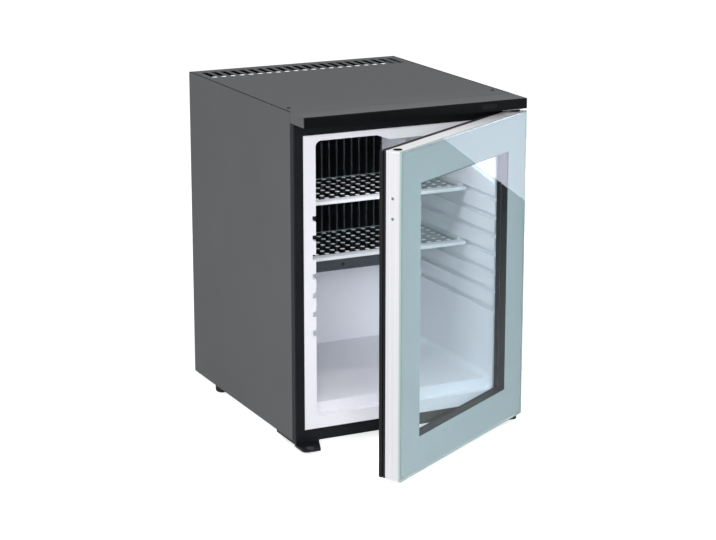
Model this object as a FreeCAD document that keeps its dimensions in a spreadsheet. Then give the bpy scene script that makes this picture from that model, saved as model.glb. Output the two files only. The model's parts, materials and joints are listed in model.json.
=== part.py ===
import FreeCAD, Part
import os
from types import SimpleNamespace

import Sketcher

# A small glass-door refrigerator for a hotel room, cooled by an absorption unit behind the food space.
# Millimetres. +Z is up, the door faces -Y, +X is to the right of someone facing the door.
# The origin is on the floor under the middle of the steel carcass. The door stands ajar.

V = FreeCAD.Vector

SIZES = {
    # Steel carcass and its folds
    "cabinet_width": 402.0,
    "carcass_height": 549.0,
    "sheet": 1.0,
    "return_lip": 14.0,
    "rear_lip": 18.0,
    "rear_foam": 35.0,
    "bay_depth": 87.0,
    "base_tail": 28.0,
    # Vents in the top
    "vent_pitch": 17.2,
    "vent_width": 10.0,
    "vent_length": 48.0,
    "vent_margin": 21.0,
    "vent_edge": 15.0,
    # Black frame round the mouth
    "frame_proud": 14.5,
    "stile_width": 16.0,
    "rail_height": 20.0,
    "frame_wall": 2.5,
    "frame_round": 2.0,
    # Liner of the food space
    "liner_wall": 2.0,
    "flange_width": 22.0,
    "top_flange_width": 10.0,
    "cavity_depth": 305.0,
    "cavity_corner": 10.0,
    "sill_height": 18.0,
    "groove_height": 9.0,
    "groove_depth": 6.0,
    "groove_pitch": 31.9,
    "lowest_groove": 183.5,
    "groove_end": 6.0,
    # Header with the controls
    "header_height": 17.0,
    "header_wall": 2.0,
    "header_seam": 1.6,
    "fascia_thickness": 2.5,
    "tray_thickness": 2.0,
    "display_width": 28.0,
    "display_height": 9.0,
    "display_inset": 56.0,
    "lens_thickness": 1.2,
    "board_width": 120.0,
    "board_depth": 32.0,
    "board_thickness": 1.6,
    "boss_height": 3.0,
    "boss_radius": 3.0,
    # Lamp under the ceiling
    "lamp_width": 124.0,
    "lamp_flank": 22.0,
    "lamp_drop": 8.0,
    "lamp_depth": 58.0,
    "lamp_offset": 8.0,
    "lamp_plate": 1.0,
    "lens_drop": 1.6,
    "lens_margin": 5.0,
    # Glass shelves on runners
    "shelf_rear_gap": 11.0,
    "shelf_depth": 171.0,
    "shelf_glass": 3.2,
    "runner_width": 8.0,
    "runner_height": 11.0,
    "tongue_height": 7.0,
    "trim_depth": 16.0,
    "trim_wall": 1.2,
    "running_gap": 0.4,
    # Evaporator fins and drip trough
    "fin_bank_width": 204.0,
    "fin_top_gap": 32.0,
    "fin_trough_gap": 4.0,
    "fin_base": 4.0,
    "fin_reach": 36.0,
    "fin_thickness": 3.0,
    "fin_pitch": 14.5,
    "stub_width": 130.0,
    "stub_height": 130.0,
    "stub_margin": 12.0,
    "stub_length": 10.0,
    "trough_width": 232.0,
    "trough_low": 203.0,
    "trough_height": 22.0,
    "trough_wall": 2.0,
    "trough_screw_offset": 18.0,
    "trough_screw_radius": 3.0,
    "trough_screw_head": 1.5,
    "drain_radius": 6.0,
    # Feet and hinge brackets
    "foot_height": 13.0,
    "foot_radius": 12.0,
    "foot_round": 5.0,
    "front_foot_edge": 25.0,
    "front_foot_setback": 38.0,
    "rear_foot_edge": 12.5,
    "rear_foot_inset": 39.0,
    "bracket_thickness": 4.0,
    "bracket_width": 42.0,
    "bracket_nose": 30.0,
    "bracket_drop": 3.0,
    "bracket_joggle": 5.0,
    "bracket_margin": 7.5,
    "bracket_screw_gap": 3.0,
    "bracket_round": 9.0,
    "cap_radius": 6.5,
    "cap_height": 1.2,
    "screw_radius": 2.0,
    "screw_head_radius": 3.6,
    "screw_head": 1.6,
    "top_screw_edge": 14.0,
    "top_screw_setback": 35.0,
    # Door
    "door_top_gap": 6.0,
    "door_foot_gap": 2.0,
    "door_glass": 4.0,
    "door_frame_depth": 23.6,
    "door_stile": 48.0,
    "door_lip": 8.0,
    "door_wall": 2.4,
    "door_cap": 2.5,
    "door_cap_spigot": 18.0,
    "pane_gap": 12.0,
    "spacer_width": 11.0,
    "gasket_depth": 12.9,
    "gasket_inset": 1.5,
    "gasket_width": 13.0,
    "gasket_carrier": 5.0,
    "gasket_neck": 2.0,
    "gasket_neck_inset": 3.0,
    "edge_screw_spacing": 31.5,
    "edge_screw_drop": 73.0,
    "edge_screw_radius": 2.4,
    "edge_screw_head": 0.8,
    # Hinge
    "hinge_inset": 14.0,
    "pin_radius": 4.0,
    "pin_reach": 13.0,
    "pin_fit": 0.05,
    "bush_radius": 7.0,
    "bush_flange_radius": 9.0,
    "bush_seat": 15.0,
    "plug_proud": 0.6,
    "hinge_plate": 2.6,
    "hinge_plate_width": 40.0,
    # Absorption unit in the rear bay
    "unit_setback": 48.0,
    "boiler_radius": 30.0,
    "boiler_height": 220.0,
    "boiler_low": 117.0,
    "boiler_edge": 81.0,
    "rim_height": 6.0,
    "rim_step": 2.0,
    "tank_radius": 25.0,
    "tank_low": 30.0,
    "tank_elbow": 60.0,
    "tube_radius": 8.0,
    "vapour_radius": 9.0,
    "coil_bend": 18.0,
    "vapour_bend": 24.0,
    "coil_rise": 40.0,
    "coil_low": 137.0,
    "coil_edge": 41.0,
    "coil_gap": 40.0,
    "coil_drop": 20.0,
    "condenser_drop": 55.0,
    "condenser_edge": 101.0,
    "condenser_margin": 12.0,
    "condenser_gap": 11.0,
    "condenser_fin_pitch": 14.0,
    "condenser_fin_thickness": 0.8,
    "condenser_fin_width": 60.0,
    "condenser_fin_height": 44.0,
    "feed_edge": 61.0,
    "feed_drop": 30.0,
    "feed_offset": 40.0,
    "return_drop": 62.0,
    "saddle_width": 40.0,
    "saddle_height": 30.0,
    "saddle_reach": 34.0,
    "control_width": 80.0,
    "control_height": 84.0,
    "control_depth": 50.0,
    "control_edge": 12.0,
    "control_gap": 11.0,
    "control_low": 24.0,
    "control_round": 4.0,
    "gland_radius": 9.0,
    "gland_length": 12.0,
    "gland_flange_radius": 13.0,
    "gland_flange": 3.0,
    "gland_bore": 4.0,
    "basin_width": 62.0,
    "basin_rear_gap": 3.0,
    "basin_height": 24.0,
    "basin_wall": 1.6,
    # Fits
    "seat_gap": 0.3,
    "seam_gap": 0.5,
}

GROOVE_COUNT = 7
GROOVES_BELOW_UPPER_COUNT = 6
GROOVES_BELOW_LOWER_COUNT = 3
COIL_PASS_COUNT = 3
DOOR_AJAR_DEGREES = 32.0
VENT_END_SHARE = 0.45

doc = FreeCAD.newDocument("Minibar")
sheet = doc.addObject("Spreadsheet::Sheet", "Sizes")
for row, (name, value) in enumerate({**SIZES, "door_ajar": DOOR_AJAR_DEGREES}.items(), start=1):
    sheet.set(f"A{row}", name)
    sheet.set(f"B{row}", str(value))
    sheet.setAlias(f"B{row}", name)
doc.recompute()


class Size:
    """A length: its value in millimetres, and its formula in the names of the sheet."""

    def __init__(self, value, formula):
        self.value = value
        self.formula = formula

    def __add__(self, other):
        other = as_size(other)
        return Size(self.value + other.value, f"({self.formula} + {other.formula})")

    def __sub__(self, other):
        other = as_size(other)
        return Size(self.value - other.value, f"({self.formula} - {other.formula})")

    def __mul__(self, share):
        return Size(self.value * share, f"({self.formula} * {share})")

    def __truediv__(self, share):
        return Size(self.value / share, f"({self.formula} / {share})")

    def __neg__(self):
        return Size(-self.value, f"(-1 * {self.formula})")


def as_size(length):
    return length if isinstance(length, Size) else Size(float(length), str(length))


s = SimpleNamespace(**{name: Size(float(sheet.get(name)), f"Sizes.{name}") for name in SIZES})

# Places that the pieces share
half = s.cabinet_width / 2
carcass_depth = s.cavity_depth + s.liner_wall + s.rear_foam + s.sheet + s.bay_depth
front = -carcass_depth / 2
rear = carcass_depth / 2
base = s.foot_height
top = base + s.carcass_height
face = front - s.frame_proud
door_rear = face - s.gasket_depth
door_front = door_rear - s.door_frame_depth - s.door_glass
header_low = top - s.header_height
flange_half = half - s.stile_width
flange_low = base + s.rail_height
flange_high = header_low - s.rail_height
cavity_half = flange_half - s.flange_width
mouth_low = flange_low + s.flange_width
cavity_low = mouth_low + s.sill_height
cavity_high = flange_high - s.top_flange_width
cavity_rear = front + s.cavity_depth
bulkhead = cavity_rear + s.liner_wall + s.rear_foam
bay = bulkhead + s.sheet
unit = bay + s.unit_setback
hinge_x = half - s.hinge_inset
hinge_y = door_rear - s.door_frame_depth / 2
door_low = base + s.door_foot_gap
door_high = header_low - s.door_top_gap
pane_half = half - s.door_stile
pane_low = door_low + s.door_stile
pane_high = door_high - s.door_stile
pane_rear = door_front + s.door_glass + s.pane_gap + s.door_glass
fin_half = s.fin_bank_width / 2
fin_front = cavity_rear - s.fin_base - s.fin_reach
trough_front = fin_front - s.trough_wall
trough_low = base + s.trough_low
trough_high = trough_low + s.trough_height
drain_z = trough_low + s.trough_height / 2
fin_low = trough_high + s.fin_trough_gap
fin_high = cavity_high - s.fin_top_gap
stub_high = fin_high - s.stub_margin
stub_low = stub_high - s.stub_height
stub_rear = cavity_rear + s.liner_wall + s.stub_length
condenser_z = top - s.condenser_drop
feed_z = stub_high - s.feed_drop
return_z = stub_high - s.return_drop
tank_z = base + s.tank_low + s.tank_radius
boiler_low = base + s.boiler_low
boiler_high = boiler_low + s.boiler_height
shelf_rear = fin_front - s.shelf_rear_gap
shelf_front = shelf_rear - s.shelf_depth
boiler_x = half - s.boiler_edge
basin_rear = unit - s.tube_radius - s.basin_rear_gap

parts = {}


def copies(span, pitch):
    """How many pieces, at a pitch, fit in a span that is counted between the middles of the outer two."""
    return int(span.value / pitch.value) + 1


def piece(name):
    """Starts a sub-part as a body that may hold several separate solids."""
    body = doc.addObject("PartDesign::Body", name)
    body.Label = name
    body.AllowCompound = True
    parts[name] = body
    return body


def tie(target, path, size):
    target.setExpression(path, as_size(size).formula)


def place(sketch, geometry, end, point):
    """Ties one end of a sketch line to its two coordinates."""
    for kind, axis, length in (("DistanceX", -2, point[0]), ("DistanceY", -1, point[1])):
        length = as_size(length)
        if length.formula == "0":
            sketch.addConstraint(Sketcher.Constraint("PointOnObject", geometry, end, axis))
            continue
        index = sketch.addConstraint(Sketcher.Constraint(kind, -1, 1, geometry, end, length.value))
        tie(sketch, f"Constraints[{index}]", length)


def flat(point):
    return V(as_size(point[0]).value, as_size(point[1]).value)


def poly(*points):
    """A closed outline of straight lines."""

    def draw(sketch):
        first = sketch.GeometryCount
        count = len(points)
        for index, point in enumerate(points):
            sketch.addGeometry(Part.LineSegment(flat(point), flat(points[(index + 1) % count])))
        for index, point in enumerate(points):
            following = first + (index + 1) % count
            sketch.addConstraint(Sketcher.Constraint("Coincident", first + index, 2, following, 1))
            place(sketch, first + index, 1, point)

    return draw


def rect(left, low, right, high):
    return poly((left, low), (right, low), (right, high), (left, high))


def disc(across, along, radius):
    def draw(sketch):
        centre = flat((across, along))
        index = sketch.addGeometry(Part.Circle(centre, V(0, 0, 1), radius.value))
        place(sketch, index, 3, (across, along))
        constraint = sketch.addConstraint(Sketcher.Constraint("Radius", index, radius.value))
        tie(sketch, f"Constraints[{constraint}]", radius)

    return draw


def round_rect(left, low, right, high, radius):
    """A rectangle with its corners rounded."""
    left, low, right, high = (as_size(length) for length in (left, low, right, high))
    runs = [
        ((left + radius, low), (right - radius, low)),
        ((right, low + radius), (right, high - radius)),
        ((right - radius, high), (left + radius, high)),
        ((left, high - radius), (left, low + radius)),
    ]
    centres = [
        (right - radius, low + radius),
        (right - radius, high - radius),
        (left + radius, high - radius),
        (left + radius, low + radius),
    ]

    def draw(sketch):
        quarter = FreeCAD.Units.parseQuantity("90 deg").getValueAs("rad").Value
        lines = [sketch.addGeometry(Part.LineSegment(flat(a), flat(b))) for a, b in runs]
        for index, (line, centre) in enumerate(zip(lines, centres)):
            circle = Part.Circle(flat(centre), V(0, 0, 1), radius.value)
            arc = sketch.addGeometry(Part.ArcOfCircle(circle, (index - 1) * quarter, index * quarter))
            place(sketch, line, 1, runs[index][0])
            place(sketch, line, 2, runs[index][1])
            sketch.addConstraint(Sketcher.Constraint("Coincident", line, 2, arc, 1))
            sketch.addConstraint(Sketcher.Constraint("Coincident", arc, 2, lines[(index + 1) % 4], 1))
            constraint = sketch.addConstraint(Sketcher.Constraint("Radius", arc, radius.value))
            tie(sketch, f"Constraints[{constraint}]", radius)

    return draw


def sketch_on(body, plane, height, wires):
    """A sketch on one of the body's own planes, moved along that plane's normal."""
    sketch = body.newObject("Sketcher::SketchObject", f"{body.Name}_outline")
    origin = [item for item in body.Origin.OriginFeatures if item.Role == f"{plane}_Plane"][0]
    sketch.AttachmentSupport = [(origin, "")]
    sketch.MapMode = "FlatFace"
    tie(sketch, "AttachmentOffset.Base.z", height)
    for draw in wires:
        draw(sketch)
    return sketch


def feature(body, kind, plane, low, high, wires):
    """Adds or takes away an outline between two places along the plane's axis, and checks that it did."""
    low, high = as_size(low), as_size(high)
    adds = kind == "Pad"
    start = high if (plane == "XZ") == adds else low
    sketch = sketch_on(body, plane, -start if plane == "XZ" else start, wires)
    before = body.Shape.Volume if body.Tip else 0.0
    made = body.newObject(f"PartDesign::{kind}", f"{body.Name}_{kind}")
    made.Profile = sketch
    tie(made, "Length", high - low)
    doc.recompute()
    gained = body.Shape.Volume - before
    if (gained if adds else -gained) <= 0:
        raise ValueError(f"{made.Name} changed nothing")
    return made


def pad(body, plane, low, high, *wires):
    return feature(body, "Pad", plane, low, high, wires)


def cut(body, plane, low, high, *wires):
    return feature(body, "Pocket", plane, low, high, wires)


def pattern(body, original, axis, pitch, count):
    """Repeats a feature along one of the body's own axes."""
    made = body.newObject("PartDesign::LinearPattern", f"{body.Name}_row")
    line = [item for item in body.Origin.OriginFeatures if item.Role == f"{axis}_Axis"][0]
    made.Originals = [original]
    made.Direction = (line, [""])
    tie(made, "Length", pitch * (count - 1))
    made.Occurrences = count
    body.Tip = made
    doc.recompute()
    return made


def round_edges(body, radius, across=None, along=None, up=None):
    """Rounds the body's edges that lie wholly at the places given."""
    wanted = [(index, length.value) for index, length in enumerate((across, along, up)) if length]
    near = Part.Precision.approximation()
    names = []
    for number, edge in enumerate(body.Tip.Shape.Edges, start=1):
        ends = [vertex.Point for vertex in edge.Vertexes]
        if all(abs(end[index] - value) < near for end in ends for index, value in wanted):
            names.append(f"Edge{number}")
    made = body.newObject("PartDesign::Fillet", f"{body.Name}_round")
    made.Base = (made.BaseFeature, names)
    tie(made, "Radius", radius)
    doc.recompute()
    return made


def swing(body):
    """Turns a piece of the closed door about the hinge, to where the door stands ajar."""
    turn = "Sizes.door_ajar"
    across, along = hinge_x.formula, hinge_y.formula
    body.setExpression("Placement.Rotation.Angle", turn)
    body.setExpression("Placement.Base.x", f"{across} - {across} * cos({turn}) + {along} * sin({turn})")
    body.setExpression("Placement.Base.y", f"{along} - {across} * sin({turn}) - {along} * cos({turn})")


def bent_tube(name, points, bend, radius):
    """A round tube along straight runs joined by bends."""
    stops = [V(*[as_size(length).value for length in point]) for point in points]
    edges = []
    start = stops[0]
    for before, corner, after in zip(stops, stops[1:], stops[2:]):
        back, onward = (before - corner).normalize(), (after - corner).normalize()
        middle = (back + onward).normalize()
        slope = back.dot(middle)
        depth = (1 - slope * slope) ** (1 / 2)
        reach = bend.value * slope / depth
        leave, join = corner + back * reach, corner + onward * reach
        inner = corner + middle * (bend.value / depth - bend.value)
        edges += [Part.LineSegment(start, leave).toShape(), Part.Arc(leave, inner, join).toShape()]
        start = join
    edges.append(Part.LineSegment(start, stops[-1]).toShape())
    ring = Part.Wire(Part.makeCircle(radius.value, stops[0], stops[1] - stops[0]))
    tube = doc.addObject("Part::Feature", name)
    tube.Shape = Part.Wire(edges).makePipeShell([ring], True, False)
    tube.Label = name
    parts[name] = tube
    return tube


# Steel carcass: two folded sides, a vented top, a base and the bulkhead behind the foam
for side, sign in (("left", -1), ("right", 1)):
    panel = piece(f"{side}_side_panel")
    outer, lip, inner = half * sign, (half - s.return_lip) * sign, (half - s.sheet) * sign
    pad(
        panel, "XY", base, top - s.sheet,
        poly((outer, front), (lip, front), (lip, front + s.sheet), (inner, front + s.sheet),
             (inner, rear - s.sheet), (lip, rear - s.sheet), (lip, rear), (outer, rear)),
    )

lip_half = half - s.return_lip - s.seam_gap
top_screw_x = half - s.top_screw_edge
top_screw_y = front + s.top_screw_setback
top_panel = piece("top_panel")
pad(top_panel, "XY", top - s.sheet, top, rect(-half, front, half, rear))
pad(top_panel, "XY", top - s.return_lip, top - s.sheet, rect(-lip_half, front, lip_half, front + s.sheet))
pad(top_panel, "XY", top - s.rear_lip, top - s.sheet, rect(-lip_half, rear - s.sheet, lip_half, rear))
cut(
    top_panel, "XY", top - s.sheet, top,
    disc(-top_screw_x, top_screw_y, s.screw_radius + s.seat_gap),
    disc(top_screw_x, top_screw_y, s.screw_radius + s.seat_gap),
)
vent_count = copies(s.cabinet_width - s.vent_edge * 2 - s.vent_width, s.vent_pitch)
first_vent = -s.vent_pitch * ((vent_count - 1) / 2)
vent_rear = rear - s.vent_margin
vent = cut(
    top_panel, "XY", top - s.sheet, top,
    round_rect(first_vent - s.vent_width / 2, vent_rear - s.vent_length,
               first_vent + s.vent_width / 2, vent_rear, s.vent_width * VENT_END_SHARE),
)
pattern(top_panel, vent, "X", s.vent_pitch, vent_count)

screws = piece("cabinet_screws")
for sign in (-1, 1):
    pad(screws, "XY", top, top + s.screw_head, disc(top_screw_x * sign, top_screw_y, s.screw_head_radius))
    pad(screws, "XY", top - s.sheet, top, disc(top_screw_x * sign, top_screw_y, s.screw_radius))

skin_half = half - s.sheet
base_panel = piece("base_panel")
pad(base_panel, "XY", base, base + s.sheet,
    rect(-skin_half, front + s.sheet, skin_half, bulkhead + s.base_tail))
pad(base_panel, "XY", base, base + s.return_lip, rect(-lip_half, front, lip_half, front + s.sheet))

rear_bulkhead = piece("rear_bulkhead")
pad(rear_bulkhead, "XZ", bulkhead, bay, rect(-skin_half, base + s.sheet, skin_half, top - s.sheet))
tube_bores = [
    disc(-s.feed_offset, feed_z, s.tube_radius + s.seat_gap),
    disc(-s.feed_offset, return_z, s.tube_radius + s.seat_gap),
    disc(s.trough_screw_offset, drain_z, s.drain_radius + s.seat_gap),
]
cut(rear_bulkhead, "XZ", bulkhead, bay, *tube_bores)

# Liner: a moulded tub with a flange at its mouth, a raised floor and shelf grooves
tub_half = cavity_half + s.liner_wall
tub_high = cavity_high + s.liner_wall
tub_rear = cavity_rear + s.liner_wall
tub_corner = s.cavity_corner + s.liner_wall
groove_rear = shelf_rear + s.groove_end
lowest = base + s.lowest_groove
groove_half = s.groove_height / 2
groove_outer = cavity_half + s.groove_depth
swell_outer = groove_outer + s.liner_wall
swell_low = lowest - groove_half - s.liner_wall
swell_high = lowest + groove_half + s.liner_wall
groove_low, groove_high = lowest - groove_half, lowest + groove_half


def both_sides(near, low, far, high):
    """A rectangle and its mirror image."""
    return rect(near, low, far, high), rect(-far, low, -near, high)


def tub_blank(body, verb, grow):
    """The space that the liner takes in the foam, or its outer shape, with the swellings of its grooves."""
    outer, corner = tub_half + grow, tub_corner + grow
    verb(body, "XZ", face, front + s.liner_wall + grow,
         round_rect(-outer, mouth_low - s.liner_wall - grow, outer, tub_high + grow, corner))
    verb(body, "XZ", face, tub_rear + grow,
         round_rect(-outer, cavity_low - s.liner_wall - grow, outer, tub_high + grow, corner))
    swell = verb(body, "XZ", face, groove_rear + s.liner_wall + grow,
                 *both_sides(cavity_half, swell_low - grow, swell_outer + grow, swell_high + grow))
    pattern(body, swell, "Z", s.groove_pitch, GROOVE_COUNT)


flange_edge = flange_half - s.seam_gap
liner = piece("liner")
pad(liner, "XZ", face, face + s.liner_wall,
    rect(-flange_edge, flange_low + s.seam_gap, flange_edge, flange_high - s.seam_gap))
tub_blank(liner, pad, as_size(0))
cut(liner, "XZ", face, front,
    round_rect(-cavity_half, mouth_low, cavity_half, cavity_high, s.cavity_corner))
cut(liner, "XZ", face, cavity_rear,
    round_rect(-cavity_half, cavity_low, cavity_half, cavity_high, s.cavity_corner))
groove = cut(liner, "XZ", face, groove_rear,
             *both_sides(cavity_half - s.liner_wall, groove_low, groove_outer, groove_high))
pattern(liner, groove, "Z", s.groove_pitch, GROOVE_COUNT)
stub_half = s.stub_width / 2
cut(
    liner, "XZ", cavity_rear, tub_rear,
    rect(-stub_half - s.seat_gap, stub_low - s.seat_gap, stub_half + s.seat_gap, stub_high + s.seat_gap),
    disc(s.trough_screw_offset, drain_z, s.drain_radius + s.seat_gap),
)

# Foam between the liner and the steel
foam = piece("insulation_foam")
pad(foam, "XZ", front + s.sheet, bulkhead, rect(-skin_half, base + s.sheet, skin_half, top - s.sheet))
pad(foam, "XZ", face + s.liner_wall, front + s.sheet,
    rect(-flange_edge, flange_low + s.seam_gap, flange_edge, flange_high - s.seam_gap))
tub_blank(foam, cut, as_size(0))
cut(foam, "XZ", tub_rear, stub_rear, rect(-stub_half, stub_low, stub_half, stub_high))
cut(foam, "XZ", tub_rear, bulkhead, *tube_bores)

# Black frame round the mouth, in four channels open to the rear
for side, sign in (("left", -1), ("right", 1)):
    stile = piece(f"{side}_frame_stile")
    outer, inner = half * sign, flange_half * sign
    outer_wall, inner_wall = (half - s.frame_wall) * sign, (flange_half + s.frame_wall) * sign
    pad(stile, "XY", base, header_low,
        poly((outer, face), (inner, face), (inner, front), (inner_wall, front),
             (inner_wall, face + s.frame_wall), (outer_wall, face + s.frame_wall),
             (outer_wall, front), (outer, front)))
    round_edges(stile, s.frame_round, across=outer, along=face)
for where, low, high in (("bottom", base, flange_low), ("top", flange_high, header_low)):
    rail = piece(f"{where}_frame_rail")
    pad(rail, "YZ", -flange_half, flange_half,
        poly((face, low), (front, low), (front, low + s.frame_wall),
             (face + s.frame_wall, low + s.frame_wall), (face + s.frame_wall, high - s.frame_wall),
             (front, high - s.frame_wall), (front, high), (face, high)))

# Header: a shell over the door's top edge, its glossy front, the display and the control board
fascia_rear = door_front + s.fascia_thickness
tray_top = header_low + s.tray_thickness
header = piece("header_shell")
pad(header, "XY", header_low, top, rect(-half, fascia_rear, half, front))
cut(header, "XY", header_low, top - s.header_wall,
    rect(-half + s.header_wall, fascia_rear, half - s.header_wall, front - s.header_wall))
seam_half, seam_high = half - s.header_seam, top - s.header_seam
cut(header, "XZ", front - s.header_seam, front,
    poly((-half, header_low), (-seam_half, header_low), (-seam_half, seam_high), (seam_half, seam_high),
         (seam_half, header_low), (half, header_low), (half, top), (-half, top)))
display_right = half - s.display_inset
display_left = display_right - s.display_width
display_low = header_low + (s.header_height - s.display_height) / 2
display_high = display_low + s.display_height
fascia = piece("header_fascia")
pad(fascia, "XZ", door_front, fascia_rear, rect(-half, header_low, half, top))
round_edges(fascia, s.frame_round, along=door_front, up=top)
cut(fascia, "XZ", door_front, door_front + s.lens_thickness,
    rect(display_left, display_low, display_right, display_high))
lens = piece("display_lens")
pad(lens, "XZ", door_front, door_front + s.lens_thickness,
    rect(display_left + s.seat_gap, display_low + s.seat_gap,
         display_right - s.seat_gap, display_high - s.seat_gap))
tray_half = half - s.header_wall - s.seat_gap
board_right = display_right + s.display_width
board_left = board_right - s.board_width
board_front = fascia_rear + s.boss_radius
board_rear = board_front + s.board_depth
tray = piece("header_tray")
pad(tray, "XY", header_low, tray_top,
    rect(-tray_half, fascia_rear, tray_half, front - s.header_wall - s.seat_gap))
pad(tray, "XY", tray_top, tray_top + s.boss_height,
    *[disc(across, along, s.boss_radius)
      for across in (board_left + s.boss_radius, board_right - s.boss_radius)
      for along in (board_front + s.boss_radius, board_rear - s.boss_radius)])
board = piece("control_board")
pad(board, "XY", tray_top + s.boss_height, tray_top + s.boss_height + s.board_thickness,
    rect(board_left, board_front, board_right, board_rear))

# Lamp: a tapered housing under the ceiling, lapping over the flange, with a diffuser below
lamp_half = s.lamp_width / 2
lamp_low = cavity_high - s.lamp_drop
lamp_left, lamp_right = s.lamp_offset - lamp_half, s.lamp_offset + lamp_half
lamp_rear = face + s.lamp_depth
lamp = piece("lamp_housing")
pad(lamp, "XZ", face, lamp_rear,
    poly((lamp_left, cavity_high), (lamp_left + s.lamp_flank, lamp_low),
         (lamp_right - s.lamp_flank, lamp_low), (lamp_right, cavity_high)))
pad(lamp, "XZ", face - s.lamp_plate, face,
    rect(lamp_left + s.lamp_flank, lamp_low, lamp_right - s.lamp_flank, cavity_high + s.lamp_drop))
lens_left, lens_right = lamp_left + s.lamp_flank + s.lens_margin, lamp_right - s.lamp_flank - s.lens_margin
diffuser = piece("lamp_lens")
pad(diffuser, "XY", lamp_low - s.lens_drop, lamp_low,
    round_rect(lens_left, face + s.lens_margin, lens_right, lamp_rear - s.lens_margin, s.lens_margin))

# Shelves: glass between two runners that slide in the grooves, with a trim along the front edge
runner_outer = cavity_half - s.running_gap
runner_inner = runner_outer - s.runner_width
tongue_outer = groove_outer - s.running_gap
for name, count in (("upper_shelf", GROOVES_BELOW_UPPER_COUNT), ("lower_shelf", GROOVES_BELOW_LOWER_COUNT)):
    level = lowest + s.groove_pitch * count - groove_half + s.seat_gap + s.tongue_height / 2
    glass_low, glass_high = level - s.shelf_glass / 2, level + s.shelf_glass / 2
    trim_low, trim_high = glass_low - s.trim_wall, glass_high + s.trim_wall
    trim_rear = shelf_front + s.trim_depth
    pane_front = shelf_front + s.trim_wall
    runner_low, runner_high = level - s.runner_height / 2, level + s.runner_height / 2
    runners = piece(f"{name}_runners")
    pad(runners, "XZ", trim_rear, shelf_rear,
        *both_sides(runner_inner, runner_low, runner_outer, runner_high))
    pad(runners, "XZ", trim_rear, shelf_rear,
        *both_sides(runner_outer, level - s.tongue_height / 2, tongue_outer, level + s.tongue_height / 2))
    cut(runners, "XZ", trim_rear, shelf_rear - s.trim_wall,
        *both_sides(runner_inner, glass_low, runner_inner + s.runner_width / 2, glass_high))
    glass = piece(f"{name}_glass")
    glass_half = runner_inner + s.runner_width / 2 - s.seat_gap
    pad(glass, "XY", glass_low, glass_high,
        rect(-glass_half, pane_front, glass_half, shelf_rear - s.trim_wall - s.seat_gap))
    trim = piece(f"{name}_trim")
    pad(trim, "YZ", -runner_outer, runner_outer,
        poly((shelf_front, trim_low), (trim_rear, trim_low), (trim_rear, glass_low),
             (pane_front, glass_low), (pane_front, glass_high), (trim_rear, glass_high),
             (trim_rear, trim_high), (shelf_front, trim_high)))

# Evaporator: a bank of fins whose stub passes through the liner, over a drip trough
fin_count = copies(s.fin_bank_width - s.fin_thickness, s.fin_pitch)
first_fin = -s.fin_pitch * ((fin_count - 1) / 2)
fins = piece("evaporator_fins")
pad(fins, "XZ", cavity_rear - s.fin_base, cavity_rear, rect(-fin_half, fin_low, fin_half, fin_high))
pad(fins, "XZ", cavity_rear, stub_rear, rect(-stub_half, stub_low, stub_half, stub_high))
fin = pad(fins, "XY", fin_low, fin_high,
          rect(first_fin - s.fin_thickness / 2, fin_front,
               first_fin + s.fin_thickness / 2, cavity_rear - s.fin_base))
pattern(fins, fin, "X", s.fin_pitch, fin_count)
trough_half = s.trough_width / 2
trough = piece("drip_trough")
pad(trough, "YZ", -trough_half, trough_half,
    poly((trough_front, trough_low + s.trough_wall * 2), (trough_front + s.trough_wall * 2, trough_low),
         (cavity_rear, trough_low), (cavity_rear, trough_high), (trough_front, trough_high)))
cut(trough, "XY", trough_low + s.trough_wall * 2, trough_high,
    rect(-trough_half + s.trough_wall, trough_front + s.trough_wall,
         trough_half - s.trough_wall, cavity_rear - s.trough_wall))
drain_bore = disc(s.trough_screw_offset, drain_z, s.drain_radius - s.basin_wall)
cut(trough, "XZ", cavity_rear - s.trough_wall, cavity_rear, drain_bore)
trough_screw = piece("drip_trough_screw")
pad(trough_screw, "XZ", trough_front - s.trough_screw_head, trough_front,
    disc(s.trough_screw_offset, drain_z, s.trough_screw_radius))
drain = piece("drain_tube")
drain_end = (bay + basin_rear) / 2
pad(drain, "XZ", cavity_rear, drain_end, disc(s.trough_screw_offset, drain_z, s.drain_radius))
cut(drain, "XZ", cavity_rear, drain_end, drain_bore)

# Hinge brackets under both front corners, because the door can be hung on either side
bracket_low = base - s.bracket_thickness
nose_high = base - s.bracket_drop
bracket_front = hinge_y - s.bracket_margin
front_foot_x = half - s.front_foot_edge
front_foot_y = front + s.front_foot_setback
bracket_screw_x = half - s.bracket_width / 2
bracket_screw_y = front_foot_y + s.foot_radius + s.bracket_screw_gap + s.screw_head_radius
bracket_rear = bracket_screw_y + s.screw_head_radius * 2
for side, sign in (("left", -1), ("right", 1)):
    bracket = piece(f"{side}_hinge_bracket")
    outer, inner, nose = half * sign, (half - s.bracket_width) * sign, (half - s.bracket_nose) * sign
    pad(bracket, "XY", bracket_low, base,
        poly((outer, face), (inner, face), (inner, bracket_rear), (outer, bracket_rear)))
    pad(bracket, "XY", nose_high - s.bracket_thickness, nose_high,
        poly((outer, bracket_front), (nose, bracket_front), (inner, face),
             (inner, face + s.bracket_joggle), (outer, face + s.bracket_joggle)))
    round_edges(bracket, s.bracket_round, across=outer, along=bracket_front)
cap = piece("spare_pivot_cap")
pad(cap, "XY", nose_high, nose_high + s.cap_height, disc(-hinge_x, hinge_y, s.cap_radius))
lower_pin = piece("lower_hinge_pin")
pad(lower_pin, "XY", nose_high, door_low + s.pin_reach, disc(hinge_x, hinge_y, s.pin_radius))

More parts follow.
